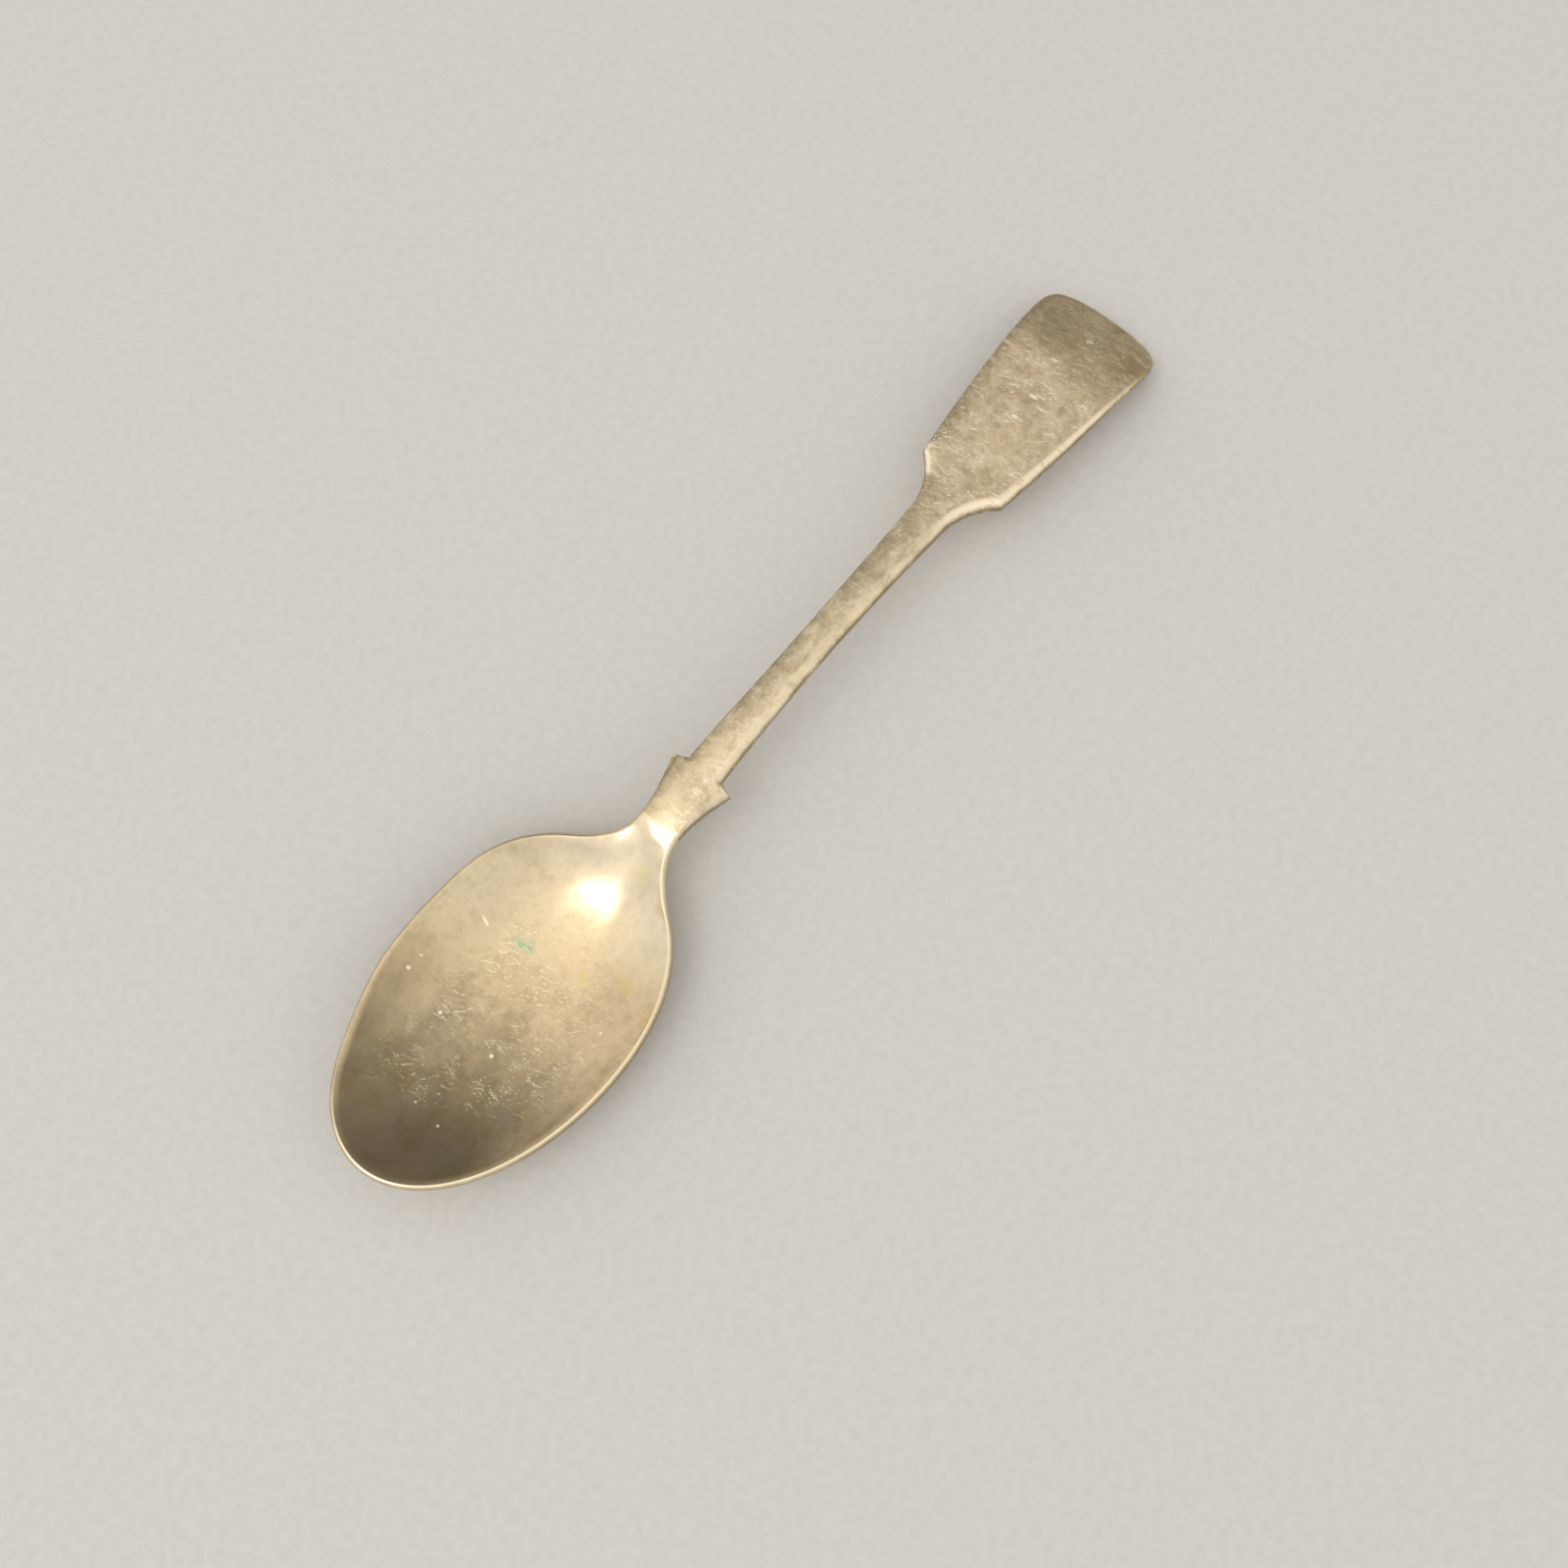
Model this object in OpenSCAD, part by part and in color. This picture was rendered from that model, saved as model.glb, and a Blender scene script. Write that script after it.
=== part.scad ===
// Fiddle pattern teaspoon, struck in one piece, lying bowl up.
//
// The spoon lies along X with the handle towards +X. Its stations are measured
// from the tip of the bowl, and the finished model is moved back by half the
// length, so the origin is under the middle of the spoon on the surface it lies
// on. It touches that surface at the worn flat under the bowl and at the
// turned-down end of the handle.
//
// The spoon is one body of metal. The nodes are its form zones, each a closed
// solid, cut where one form ends and the next begins.

/* [Overall] */
// Length from bowl tip to handle end
spoon_len = 135; // [125:1:145]

/* [Bowl] */
// Width of the bowl at its widest
bowl_w = 29.2; // [24:0.2:34]
// Distance from the bowl tip to its widest place
bowl_widest = 24; // [22:0.5:26]
// Distance from the bowl tip to the crease where the handle's face begins
crease_x = 46.8; // [46:0.1:47.2]
// Height of the rim at the bowl tip
rim_tip_z = 8.8; // [7:0.1:10]
// Height of the rim at its lowest, beside the bowl
rim_low_z = 5.9; // [5:0.1:7]
// Thickness of the bowl wall at its bottom
bowl_wall = 1; // [0.7:0.05:1.4]
// Depth of the worn flat ground off the underside by use
wear_depth = 0.1; // [0.05:0.01:0.15]

/* [Neck] */
// Width of the neck at its narrowest
neck_w = 5.5; // [4.6:0.1:6.5]
// Thickness of the neck there
neck_t = 2.9; // [2.4:0.1:3.4]
// Width across the tips of the two fins
fin_w = 8.4; // [7:0.1:10]
// Distance from the bowl tip to the fins' square edge
fin_x = 56.4; // [55.5:0.1:58]

// Width of the drop on the back of the bowl
drop_w = 4.8; // [4:0.1:5]
// Thickness of the drop
drop_t = 0.5; // [0.3:0.05:0.7]
// Distance from the bowl tip to the drop's round end
drop_tip_x = 38.5; // [37:0.5:41]

/* [Stem] */
// Width of the stem at its narrowest
stem_w = 4; // [3.4:0.1:5]
// Height of the stem's face at the top of its arch
arch_z = 9.4; // [8.8:0.1:10.5]
// Thickness of the stem
stem_t = 2.4; // [2:0.1:2.8]

/* [Fiddle] */
// Distance from the handle end to the corners of the shoulders
fiddle_len = 31.6; // [28:0.1:34]
// Width across the corners of the shoulders
shoulder_w = 11.8; // [10:0.1:13.5]
// Greatest width of the fiddle, near its end
fiddle_w = 16.4; // [14.5:0.1:19]
// Height of the fiddle's flat face at the shoulders
shoulder_z = 7.2; // [6.6:0.1:8]
// Thickness of the fiddle
fiddle_t = 1.7; // [1.4:0.05:2]
// Length of the end that turns down to the table
turned_len = 14; // [11:0.5:15]

/* [Hidden] */

// Colours of the worn metal, a little darker towards the handle end
BOWL_COLOUR = [0.68, 0.62, 0.50];
HANDLE_COLOUR = [0.72, 0.66, 0.54];
END_COLOUR = [0.60, 0.53, 0.42];

// Stations along the spoon: lowest place of the rim, narrowest neck, thinnest stem,
// top of the arch
rim_low_x = 30;
neck_x = 48.5;
stem_thin_x = 75;
arch_x = 72;
// The bowl's fillet into the neck begins this far behind its widest place
FILLET_FROM = 17.5;
fillet_x = bowl_widest + FILLET_FROM;
// Length of the fins' blunt back edge
NOTCH_LEN = 0.65;
fin_tip_x = fin_x - NOTCH_LEN;
// Length of the sweep out to the shoulders, and of the rounding at the handle end
SWEEP_LEN = 7.4;
ROUND_LEN = 6;
shoulder_x = spoon_len - fiddle_len;
sweep_x = shoulder_x - SWEEP_LEN;
turn_x = spoon_len - turned_len;
round_x = spoon_len - ROUND_LEN;

// Bevel round the face: plan width and drop, and the wall under it. The handle's is
// full from this station on.
RIM_BEVEL = [0.55, 0.7, 0.5];
STEM_BEVEL = [0.95, 0.6, 1.1];
FIDDLE_BEVEL = [1.1, 0.6, 0.7];
END_BEVEL = [0.4, 0.3, 0.7];
BEVEL_FULL_X = 58;
// A bevel takes up no more than this share of half the width
BEVEL_SHARE = 0.8;

// Shape of the bowl's outline and of the stem's gentle waist
SHOULDER_POWER = 2.2;
SHOULDER_REACH = 20;
STEM_FLARE = 0.4;
SWEEP_R = 9.5;
// How the hollow steepens towards its rim: towards the tip and across, along the floor
// that climbs to the neck, and across the heel beside the crease
DISH_POWER = 2.25;
HEEL_POWER = 2.3;
CREASE_POWER = 1.6;
// The fins' line sets off from their tips at this slope
FIN_SLOPE = 0.3;
// The fiddle's sides bow outwards by this much
FIDDLE_BOW = 0.3;
// The handle's face in side view: how far above the rim's lowest place it is at the
// crease and on the neck, its slopes there, and where and how steeply it comes down
// from the arch
CREASE_RISE = 1;
CREASE_SLOPE = 0.32;
NECK_KNOT_X = 52;
NECK_RISE = 2.3;
NECK_SLOPE = 0.18;
arch_end_x = sweep_x - 6;
ARCH_FALL = 0.9;
ARCH_END_SLOPE = -0.09;
// The underside of the neck: slopes at its two ends, and where the second one is
NECK_BACK_SLOPE = 0.36;
STEM_BACK_SLOPE = 0.03;
BACK_KNOT_X = 62;
// The stem thins down to the fiddle over this length
THIN_LEN = 12;
// Slope of the fiddle's flat face, and thickness at the very end
FACE_SLOPE = -0.06;
END_T = 1.6;
// Both ends are blunt by this much, so that the skin closes on a real face
END_TRIM = 0.02;
// The drop: where its round end begins, its least thickness, the length of its tip
DROP_ROUND_X = 43;
DROP_SKIN = 0.03;
DROP_NOSE = 0.5;
// The fiddle is made this much too high, and its face is then cut flat
FACE_LIFT = 0.3;
// Depth of the blocks that are cut away
CUT_DEPTH = 5;
// Offset for a slope measured from the outline itself
STEP = 0.01;

// Facets: half of those across a section's underside, and those across the drop
ACROSS = 8;
DROP_ACROSS = 10;
// Facets along each side of the bowl and across its cut at the neck
SIDE_STEPS = 28;
CUT_STEPS = 6;
// Rings of the bowl's two surfaces, as shares of its outline
DISH_RINGS = [0.97, 0.9, 0.8, 0.65, 0.5, 0.34, 0.17];
// Sections along each zone of the handle, and along the drop
NECK_STEPS = 9;
STEM_STEPS = 12;
SWEEP_STEPS = 10;
FIDDLE_STEPS = 6;
END_STEPS = 14;
DROP_STEPS = 12;

// ---- curves -----------------------------------------------------------------

// Cubic from knot a to knot b, each [station, value, slope]
function blend(x, a, b) =
    let (
        d = b[0] - a[0],
        t = (x - a[0]) / d
    )
    a[1] * (2 * t ^ 3 - 3 * t ^ 2 + 1) + a[2] * d * (t ^ 3 - 2 * t ^ 2 + t)
    + b[1] * (3 * t ^ 2 - 2 * t ^ 3) + b[2] * d * (t ^ 3 - t ^ 2);

// Value of a chain of knots at station x
function chain(x, knots, i = 0) =
    i == len(knots) - 2 || x <= knots[i + 1][0]
        ? blend(x, knots[i], knots[i + 1])
        : chain(x, knots, i + 1);

// Three values faded from list a to list b between two stations
function fade(x, x0, x1, a, b) =
    let (t = min(max((x - x0) / (x1 - x0), 0), 1))
    a + (b - a) * (3 * t ^ 2 - 2 * t ^ 3);

// ---- plan: half width at each station ---------------------------------------

function shoulder_half(x) =
    bowl_w / 2 * sqrt(max(0, 1 - ((x - bowl_widest) / SHOULDER_REACH) ^ SHOULDER_POWER));

fillet_knot = [
    fillet_x,
    shoulder_half(fillet_x),
    (shoulder_half(fillet_x + STEP) - shoulder_half(fillet_x - STEP)) / (2 * STEP)
];

function bowl_half(x) =
    x < bowl_widest ? bowl_w / 2 * sqrt(max(0, 1 - ((bowl_widest - x) / bowl_widest) ^ 2))
    : x < fillet_x ? shoulder_half(x)
    : blend(x, fillet_knot, [neck_x, neck_w / 2, 0]);

function neck_half(x) =
    x < fin_tip_x
        ? blend(x, [neck_x, neck_w / 2, 0], [fin_tip_x, fin_w / 2, FIN_SLOPE])
        : fin_w / 2 + (stem_half(fin_x) - fin_w / 2) * (x - fin_tip_x) / (fin_x - fin_tip_x);

function stem_half(x) =
    let (reach = x < stem_thin_x ? stem_thin_x - fin_x : sweep_x - stem_thin_x)
    stem_w / 2 + STEM_FLARE * ((x - stem_thin_x) / reach) ^ 2;

function sweep_half(x) =
    let (
        reach = shoulder_x - sweep_x,
        rise = SWEEP_R - sqrt(SWEEP_R ^ 2 - (x - sweep_x) ^ 2),
        full = SWEEP_R - sqrt(SWEEP_R ^ 2 - reach ^ 2)
    )
    stem_half(sweep_x) + (shoulder_w / 2 - stem_half(sweep_x)) * rise / full;

function fiddle_half(x) =
    let (
        s = (x - shoulder_x) / (round_x - shoulder_x),
        side = shoulder_w / 2 + (fiddle_w - shoulder_w) / 2 * s + FIDDLE_BOW * 4 * s * (1 - s),
        e = max(0, (x - round_x) / (spoon_len - round_x))
    )
    x < round_x ? side : fiddle_w / 2 * (1 - e ^ 4) ^ 0.4;

function half(x) =
    x < neck_x ? bowl_half(x)
    : x < fin_x ? neck_half(x)
    : x < sweep_x ? stem_half(x)
    : x < shoulder_x ? sweep_half(x)
    : fiddle_half(x);

// ---- elevation: face, underside and bevels at each station ---------------------

face_knots = [
    [rim_low_x, rim_low_z, 0],
    [crease_x, rim_low_z + CREASE_RISE, CREASE_SLOPE],
    [NECK_KNOT_X, rim_low_z + NECK_RISE, NECK_SLOPE],
    [arch_x, arch_z, 0],
    [arch_end_x, arch_z - ARCH_FALL, ARCH_END_SLOPE],
    [shoulder_x, shoulder_z, FACE_SLOPE]
];
end_x = spoon_len - END_TRIM;
turn_drop = shoulder_z + FACE_SLOPE * (end_x - shoulder_x) - END_T;

function face_z(x) =
    x < rim_low_x ? rim_low_z + (rim_tip_z - rim_low_z) * ((rim_low_x - x) / rim_low_x) ^ 2
    : x < shoulder_x ? chain(x, face_knots)
    : shoulder_z + FACE_SLOPE * (x - shoulder_x)
        - (x > turn_x ? turn_drop * ((x - turn_x) / (end_x - turn_x)) ^ 2 : 0);

neck_back = [neck_x, face_z(neck_x) - neck_t, NECK_BACK_SLOPE];
stem_back = [BACK_KNOT_X, face_z(BACK_KNOT_X) - stem_t, STEM_BACK_SLOPE];

function thickness(x) =
    x < sweep_x ? stem_t
    : x < turn_x ? stem_t + (fiddle_t - stem_t) * min(1, (x - sweep_x) / THIN_LEN)
    : fiddle_t + (END_T - fiddle_t) * (x - turn_x) / (end_x - turn_x);

// Lower edge of the side wall
function low_z(x) = face_z(x) - bevel(x)[1] - bevel(x)[2];

// Underside along the middle, before the worn flat is ground off under the bowl
function back_z(x) =
    x < bowl_widest
        ? -wear_depth + (low_z(x) + wear_depth) * ((bowl_widest - x) / bowl_widest) ^ 2
    : x < neck_x
        ? -wear_depth
            + (neck_back[1] + wear_depth) * ((x - bowl_widest) / (neck_x - bowl_widest)) ^ 2
    : x < BACK_KNOT_X ? blend(x, neck_back, stem_back)
    : face_z(x) - thickness(x);

function bevel(x) =
    x < sweep_x ? fade(x, neck_x, BEVEL_FULL_X, RIM_BEVEL, STEM_BEVEL)
    : x < shoulder_x ? fade(x, sweep_x, shoulder_x, STEM_BEVEL, FIDDLE_BEVEL)
    : FIDDLE_BEVEL
        + (END_BEVEL - FIDDLE_BEVEL) * min(1, (x - shoulder_x) / (round_x - shoulder_x));

// ---- skins ------------------------------------------------------------------

// One section of the handle, round from the left edge of the face. The face is
// raised by lift, with its bevels carried on upwards, where it is cut flat later.
function section(x, lift = 0) =
    let (
        w = half(x),
        b = bevel(x),
        run = min(b[0], w * BEVEL_SHARE),
        k = 1 + lift / b[1],
        top = face_z(x) + lift,
        edge = face_z(x) - b[1],
        low = low_z(x),
        back = back_z(x)
    )
    [
        [x, -w, edge],
        [x, -w + run * k, top],
        [x, w - run * k, top],
        [x, w, edge],
        for (i = [0 : 2 * ACROSS])
            let (t = 1 - i / ACROSS)
            [x, w * t, back + (low - back) * t ^ 2]
    ];

// Faces that join rings of n points, with flat caps on the first and the last
function ring_faces(count, n) = concat(
    [[for (j = [n - 1 : -1 : 0]) j]],
    [for (i = [0 : count - 2], j = [0 : n - 1])
        let (a = i * n, b = (i + 1) * n, k = (j + 1) % n)
        each [[a + j, a + k, b + k], [a + j, b + k, b + j]]],
    [[for (j = [0 : n - 1]) (count - 1) * n + j]]
);

module loft(stations, lift = 0) {
    rings = [for (x = stations) section(x, lift)];
    polyhedron(
        points = [for (r = rings) each r],
        faces = ring_faces(len(rings), len(rings[0])),
        convexity = 4
    );
}

// Stations from x0 to x1 in equal steps
function steps(x0, x1, n) = [for (i = [0 : n]) x0 + (x1 - x0) * i / n];

// Moves the model so that its origin is under the middle of the spoon
module centred() {
    translate([-spoon_len / 2, 0, 0]) children();
}

// ---- bowl -------------------------------------------------------------------

// Half width of the hollow: the outline moved in by the bevel round the rim
function hollow_half(x) =
    let (
        e = RIM_BEVEL[0],
        a = bowl_widest - e,
        slope = (half(x + STEP) - half(x - STEP)) / (2 * STEP)
    )
    x < bowl_widest
        ? (bowl_w / 2 - e) * sqrt(max(0, 1 - ((bowl_widest - x) / a) ^ 2))
        : half(x) - e * sqrt(1 + slope ^ 2);

// Height of the inside surface: a dish on the tip side of the widest place, and
// arcs across the bowl, with a floor that climbs to the crease, on the neck side
function inside_z(x, y) =
    let (
        a = bowl_widest - RIM_BEVEL[0],
        u = x < bowl_widest ? (bowl_widest - x) / a : (x - bowl_widest) / (crease_x - bowl_widest),
        climb = u ^ HEEL_POWER,
        power = DISH_POWER + (CREASE_POWER - DISH_POWER) * u,
        rise = face_z(x) - bowl_wall
    )
    x < bowl_widest
        ? bowl_wall + rise * (u ^ 2 + (y / (bowl_w / 2 - RIM_BEVEL[0])) ^ 2) ^ (DISH_POWER / 2)
        : bowl_wall + rise * (climb + (1 - climb) * abs(y / hollow_half(x)) ^ power);

function outside_z(x, y) =
    let (u = (bowl_widest - x) / bowl_widest)
    x < bowl_widest
        ? -wear_depth + (low_z(x) + wear_depth) * (u ^ 2 + (y / (bowl_w / 2)) ^ 2)
        : back_z(x) + (low_z(x) - back_z(x)) * (y / half(x)) ^ 2;

function ring_half(x, hollow) = hollow ? hollow_half(x) : half(x);

// Stations along one side, crowded towards both ends, where the edge turns
function side_x(i, tip, far) = tip + (far - tip) * (1 - cos(180 * i / SIDE_STEPS)) / 2;

// Rings run from the left side of the neck, round the tip, to its right side, and
// then back across the neck
function plan_ring(tip, far, hollow) =
    let (
        w = ring_half(far, hollow),
        corner = hollow ? w * BEVEL_SHARE : w - RIM_BEVEL[0]
    )
    concat(
        [for (i = [SIDE_STEPS : -1 : 1])
            let (x = side_x(i, tip, far)) [x, ring_half(x, hollow)]],
        [[tip, 0]],
        [for (i = [1 : SIDE_STEPS])
            let (x = side_x(i, tip, far)) [x, -ring_half(x, hollow)]],
        [for (i = [0 : CUT_STEPS]) [far, corner * (2 * i / CUT_STEPS - 1)]]
    );

outer_plan = plan_ring(0, neck_x, false);
inner_plan = plan_ring(RIM_BEVEL[0], crease_x, true);
bowl_middle = [bowl_widest, 0];

function shrunk(plan, r) = [for (p = plan) bowl_middle + (p - bowl_middle) * r];

function inside_ring(r) = [for (p = shrunk(inner_plan, r)) [p[0], p[1], inside_z(p[0], p[1])]];
function outside_ring(r) = [for (p = shrunk(outer_plan, r)) [p[0], p[1], outside_z(p[0], p[1])]];

// The rim's outer edge. Across the neck it rises to the level of the face.
edge_ring = [for (p = outer_plan)
    [p[0], p[1], face_z(p[0]) - (abs(p[1]) < half(p[0]) - RIM_BEVEL[0] + STEP ? 0 : RIM_BEVEL[1])]];

// Rings from the middle of the inside, over the rim, to the middle of the outside
module bowl_skin() {
    n = len(outer_plan);
    inward = [for (i = [1 : len(DISH_RINGS)]) DISH_RINGS[len(DISH_RINGS) - i]];
    rings = concat(
        [for (r = concat(inward, [1])) inside_ring(r)],
        [edge_ring],
        [for (r = concat([1], DISH_RINGS)) outside_ring(r)]
    );
    last = len(rings) * n + 1;
    polyhedron(
        points = concat(
            [[bowl_widest, 0, bowl_wall]],
            [for (r = rings) each r],
            [[bowl_widest, 0, -wear_depth]]
        ),
        faces = concat(
            [for (j = [0 : n - 1]) [0, 1 + (j + 1) % n, 1 + j]],
            [for (i = [0 : len(rings) - 2], j = [0 : n - 1])
                let (a = 1 + i * n, b = a + n, k = (j + 1) % n)
                each [[a + j, a + k, b + k], [a + j, b + k, b + j]]],
            [for (j = [0 : n - 1]) [last, last - n + j, last - n + (j + 1) % n]]
        ),
        convexity = 6
    );
}

// Everything below the table, for grinding off the worn flat
module below_table() {
    translate([0, -bowl_w, -CUT_DEPTH]) cube([spoon_len, 2 * bowl_w, CUT_DEPTH]);
}

// The drop: a tongue on the back of the bowl that the neck runs out into
function drop_half(x) =
    drop_w / 2 * sqrt(1 - max(0, (DROP_ROUND_X - x) / (DROP_ROUND_X - drop_tip_x)) ^ 2);

function drop_depth(x, t) =
    let (run = max(0, (x - DROP_ROUND_X) / (neck_x - DROP_ROUND_X)))
    DROP_SKIN + drop_t * (1 - run ^ 2) * (1 - t ^ 4);

function drop_section(x) =
    let (w = drop_half(x), across = [for (i = [0 : DROP_ACROSS]) 2 * i / DROP_ACROSS - 1])
    concat(
        [for (t = across) [x, w * t, outside_z(x, w * t)]],
        [for (i = [DROP_ACROSS : -1 : 0])
            let (t = across[i]) [x, w * t, outside_z(x, w * t) - drop_depth(x, t)]]
    );

// ---- parts ------------------------------------------------------------------

module bowl() {
    color(BOWL_COLOUR) centred() difference() {
        bowl_skin();
        below_table();
    }
}

module heel_drop() {
    stations = concat([drop_tip_x + END_TRIM], steps(drop_tip_x + DROP_NOSE, neck_x, DROP_STEPS));
    rings = [for (x = stations) drop_section(x)];
    color(BOWL_COLOUR) centred() polyhedron(
        points = [for (r = rings) each r],
        faces = ring_faces(len(rings), len(rings[0])),
        convexity = 4
    );
}

module neck() {
    color(HANDLE_COLOUR) centred()
        loft(concat(steps(neck_x, fin_tip_x, NECK_STEPS), [fin_x]));
}

module stem() {
    color(HANDLE_COLOUR) centred() loft(steps(fin_x, sweep_x, STEM_STEPS));
}

module shoulders() {
    color(HANDLE_COLOUR) centred() loft(steps(sweep_x, shoulder_x, SWEEP_STEPS));
}

// The face is cut in one plane: a flat seat for a crest or initials
module fiddle() {
    tilt = -atan(FACE_SLOPE);
    color(HANDLE_COLOUR) centred() difference() {
        loft(steps(shoulder_x, turn_x, FIDDLE_STEPS), FACE_LIFT);
        translate([shoulder_x, -fiddle_w, shoulder_z]) rotate([0, tilt, 0])
            translate([-fiddle_len, 0, 0]) cube([3 * fiddle_len, 2 * fiddle_w, CUT_DEPTH]);
    }
}

module turned_end() {
    color(END_COLOUR) centred() loft(steps(turn_x, end_x, END_STEPS));
}

bowl();
heel_drop();
neck();
stem();
shoulders();
fiddle();
turned_end();
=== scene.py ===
"""Souvenir spoon: a worn fiddle pattern teaspoon, struck from one piece of nickel silver.

Forms are worked out in millimetres. A station is the distance along the spoon from the
tip of the bowl, y is across it (+y is the left side, seen from the tip) and z is up.
"""
import math

import bpy
import numpy as np
from mathutils import Matrix, Vector


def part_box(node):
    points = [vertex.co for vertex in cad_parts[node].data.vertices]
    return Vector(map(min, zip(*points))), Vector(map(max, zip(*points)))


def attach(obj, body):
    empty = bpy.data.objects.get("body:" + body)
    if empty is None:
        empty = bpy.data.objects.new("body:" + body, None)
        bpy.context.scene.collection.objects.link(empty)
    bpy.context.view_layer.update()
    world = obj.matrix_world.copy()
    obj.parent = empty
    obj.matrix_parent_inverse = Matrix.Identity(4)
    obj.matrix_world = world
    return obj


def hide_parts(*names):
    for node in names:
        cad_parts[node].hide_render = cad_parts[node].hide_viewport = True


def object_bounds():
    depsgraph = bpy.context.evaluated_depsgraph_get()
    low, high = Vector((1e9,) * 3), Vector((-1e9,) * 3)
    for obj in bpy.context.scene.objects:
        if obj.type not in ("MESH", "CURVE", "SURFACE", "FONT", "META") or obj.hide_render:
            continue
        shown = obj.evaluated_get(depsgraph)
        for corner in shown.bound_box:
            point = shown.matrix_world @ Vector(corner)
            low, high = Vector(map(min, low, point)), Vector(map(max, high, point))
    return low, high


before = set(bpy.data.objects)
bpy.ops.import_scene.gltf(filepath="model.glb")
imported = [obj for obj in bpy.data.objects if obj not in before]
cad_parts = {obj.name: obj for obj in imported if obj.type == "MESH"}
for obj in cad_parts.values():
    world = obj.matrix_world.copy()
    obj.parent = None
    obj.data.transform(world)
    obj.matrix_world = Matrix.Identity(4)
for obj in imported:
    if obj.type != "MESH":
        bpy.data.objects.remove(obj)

CAD_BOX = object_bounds()
MM = 0.001
LEFT, RIGHT = 1, -1


def cut(node):
    """Station at which a CAD node begins."""
    return (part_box(node)[0].x - CAD_BOX[0].x) / MM


def width(node):
    """Width of a CAD node."""
    low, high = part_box(node)
    return (high.y - low.y) / MM


# ---- sizes that the frame gives ------------------------------------------------------
NECK_X = cut("neck")
FIN_X = cut("stem")
SWEEP_X = cut("shoulders")
SHOULDER_X = cut("fiddle")
TURN_X = cut("turned_end")
END_X = (CAD_BOX[1].x - CAD_BOX[0].x) / MM
MIDDLE_X = -CAD_BOX[0].x / MM
BOWL_W = width("bowl")
FIN_W = width("neck")
FIDDLE_W = width("turned_end")
ARCH_Z = CAD_BOX[1].z / MM

# ---- sizes of the forms inside the frame ---------------------------------------------
BOWL_WIDEST = 24.0
BOWL_SHOULDER = 20.0
SHOULDER_POWER = 2.2
FILLET_X = 41.5
CREASE_X = 46.8
DISH_POWER = 2.25
HEEL_POWER = 2.3
CREASE_POWER = 1.6
BOWL_WALL = 1.0
WEAR = 0.1
RIM_LOW_X = 30.0
RIM_LOW_Z = 5.9
RIM_TIP_Z = 8.8
NECK_W = 5.5
NECK_T = 2.9
NECK_BACK_SLOPE = 0.36
NECK_TOP_X = 52.0
NOTCH_LEN = 0.65
FIN_TIP_X = FIN_X - NOTCH_LEN
FIN_SLOPE = 0.3
STEM_W = 4.0
STEM_FLARE = 0.4
STEM_THIN_X = 75.0
STEM_T = 2.4
ARCH_X = 72.0
ARCH_END_X = 90.0
BACK_KNOT_X = 62.0
STEM_BACK_SLOPE = 0.03
SHOULDER_W = 11.8
SHOULDER_Z = 7.2
SWEEP_R = 9.5
FIDDLE_T = 1.7
FIDDLE_BOW = 0.3
FIDDLE_THINS_OVER = 12.0
FACE_SLOPE = -0.06
ROUND_X = 129.0
ROUND_LEN = 6.0
END_T = 1.6
DROP_W = 4.8
DROP_T = 0.5
DROP_SKIN = 0.03
DROP_TIP_X = 38.5
DROP_ROUND_X = 43.0
# Powers of the handle's rounded corners, of the way along and then of the width, and of
# the drop's crown, across and along
ROUND_POWERS = (4, 0.4)
DROP_POWERS = (4, 6)

# Rounded edge of the face: width in plan, drop, and the wall under it
RIM_EDGE = (0.55, 0.7, 0.5)
STEM_EDGE = (0.95, 0.6, 1.1)
FIDDLE_EDGE = (1.1, 0.6, 0.7)
END_EDGE = (0.4, 0.3, 0.7)
# Where the rim's edge has become the stem's, and there how much flatter it is and in
# what curve it falls
STEM_EDGE_X = 58.0
BEVEL_SHARE = 0.6
BEVEL_POWER = 1.7
# Years of use have left the bowl's left side a little fuller behind its widest place,
# and flatter near the tip
SWELL = 0.7
SWELL_SPAN = (26.0, 47.0)
FLAT_SPOT = 0.4
FLAT_SPOT_SPAN = (1.0, 19.0)
# The fins' wings fall away outside the line of the stem, the left one more
WING_FROM = 2.0
WING_SLOPE = {LEFT: 0.33, RIGHT: 0.14}
WING_SPAN = (NECK_X + 1, FIN_TIP_X - 1.5)
# The neck's face is crowned about a line a little right of its middle
CROWN = 0.04
CROWN_Y = -0.9
CROWN_BEGINS = (CREASE_X, CREASE_X + 3.5)
CROWN_ENDS = (FIN_X - 1, FIN_X + 6)
# The crease between bowl and neck is crisp on the right, and worn soft on the left
CREASE_SOFTNESS = 2.4
SOFT_ACROSS = (-1.0, 3.6)
SOFT_ALONG = (CREASE_X - 9, CREASE_X)
# The bevel is this much narrower behind the fins
NOTCH_SHARPNESS = 3.5

# ---- mesh densities ------------------------------------------------------------------
SIDE_STEPS = 170
BAND_STEPS = 9
FLAT_STEPS = 22
DISH_STEPS = 60
DISH_CROWDING = 1.5
WALL_STEPS = 3
DROP_STEPS = 70
DROP_FIRST = 0.02
DROP_ACROSS = 41
ROUND_STEPS = 80
NOTCH_STEP = 0.065
SHOULDER_STEP = 0.1
NECK_STEP = 0.15
FIDDLE_STEP = 0.2
STEM_STEP = 0.3
# The edge band is sampled closely as if the outline were never steeper than this, over
# no more than this share of the half width
STEEPEST = 1.5
WIDEST_RUN = 0.8
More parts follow.
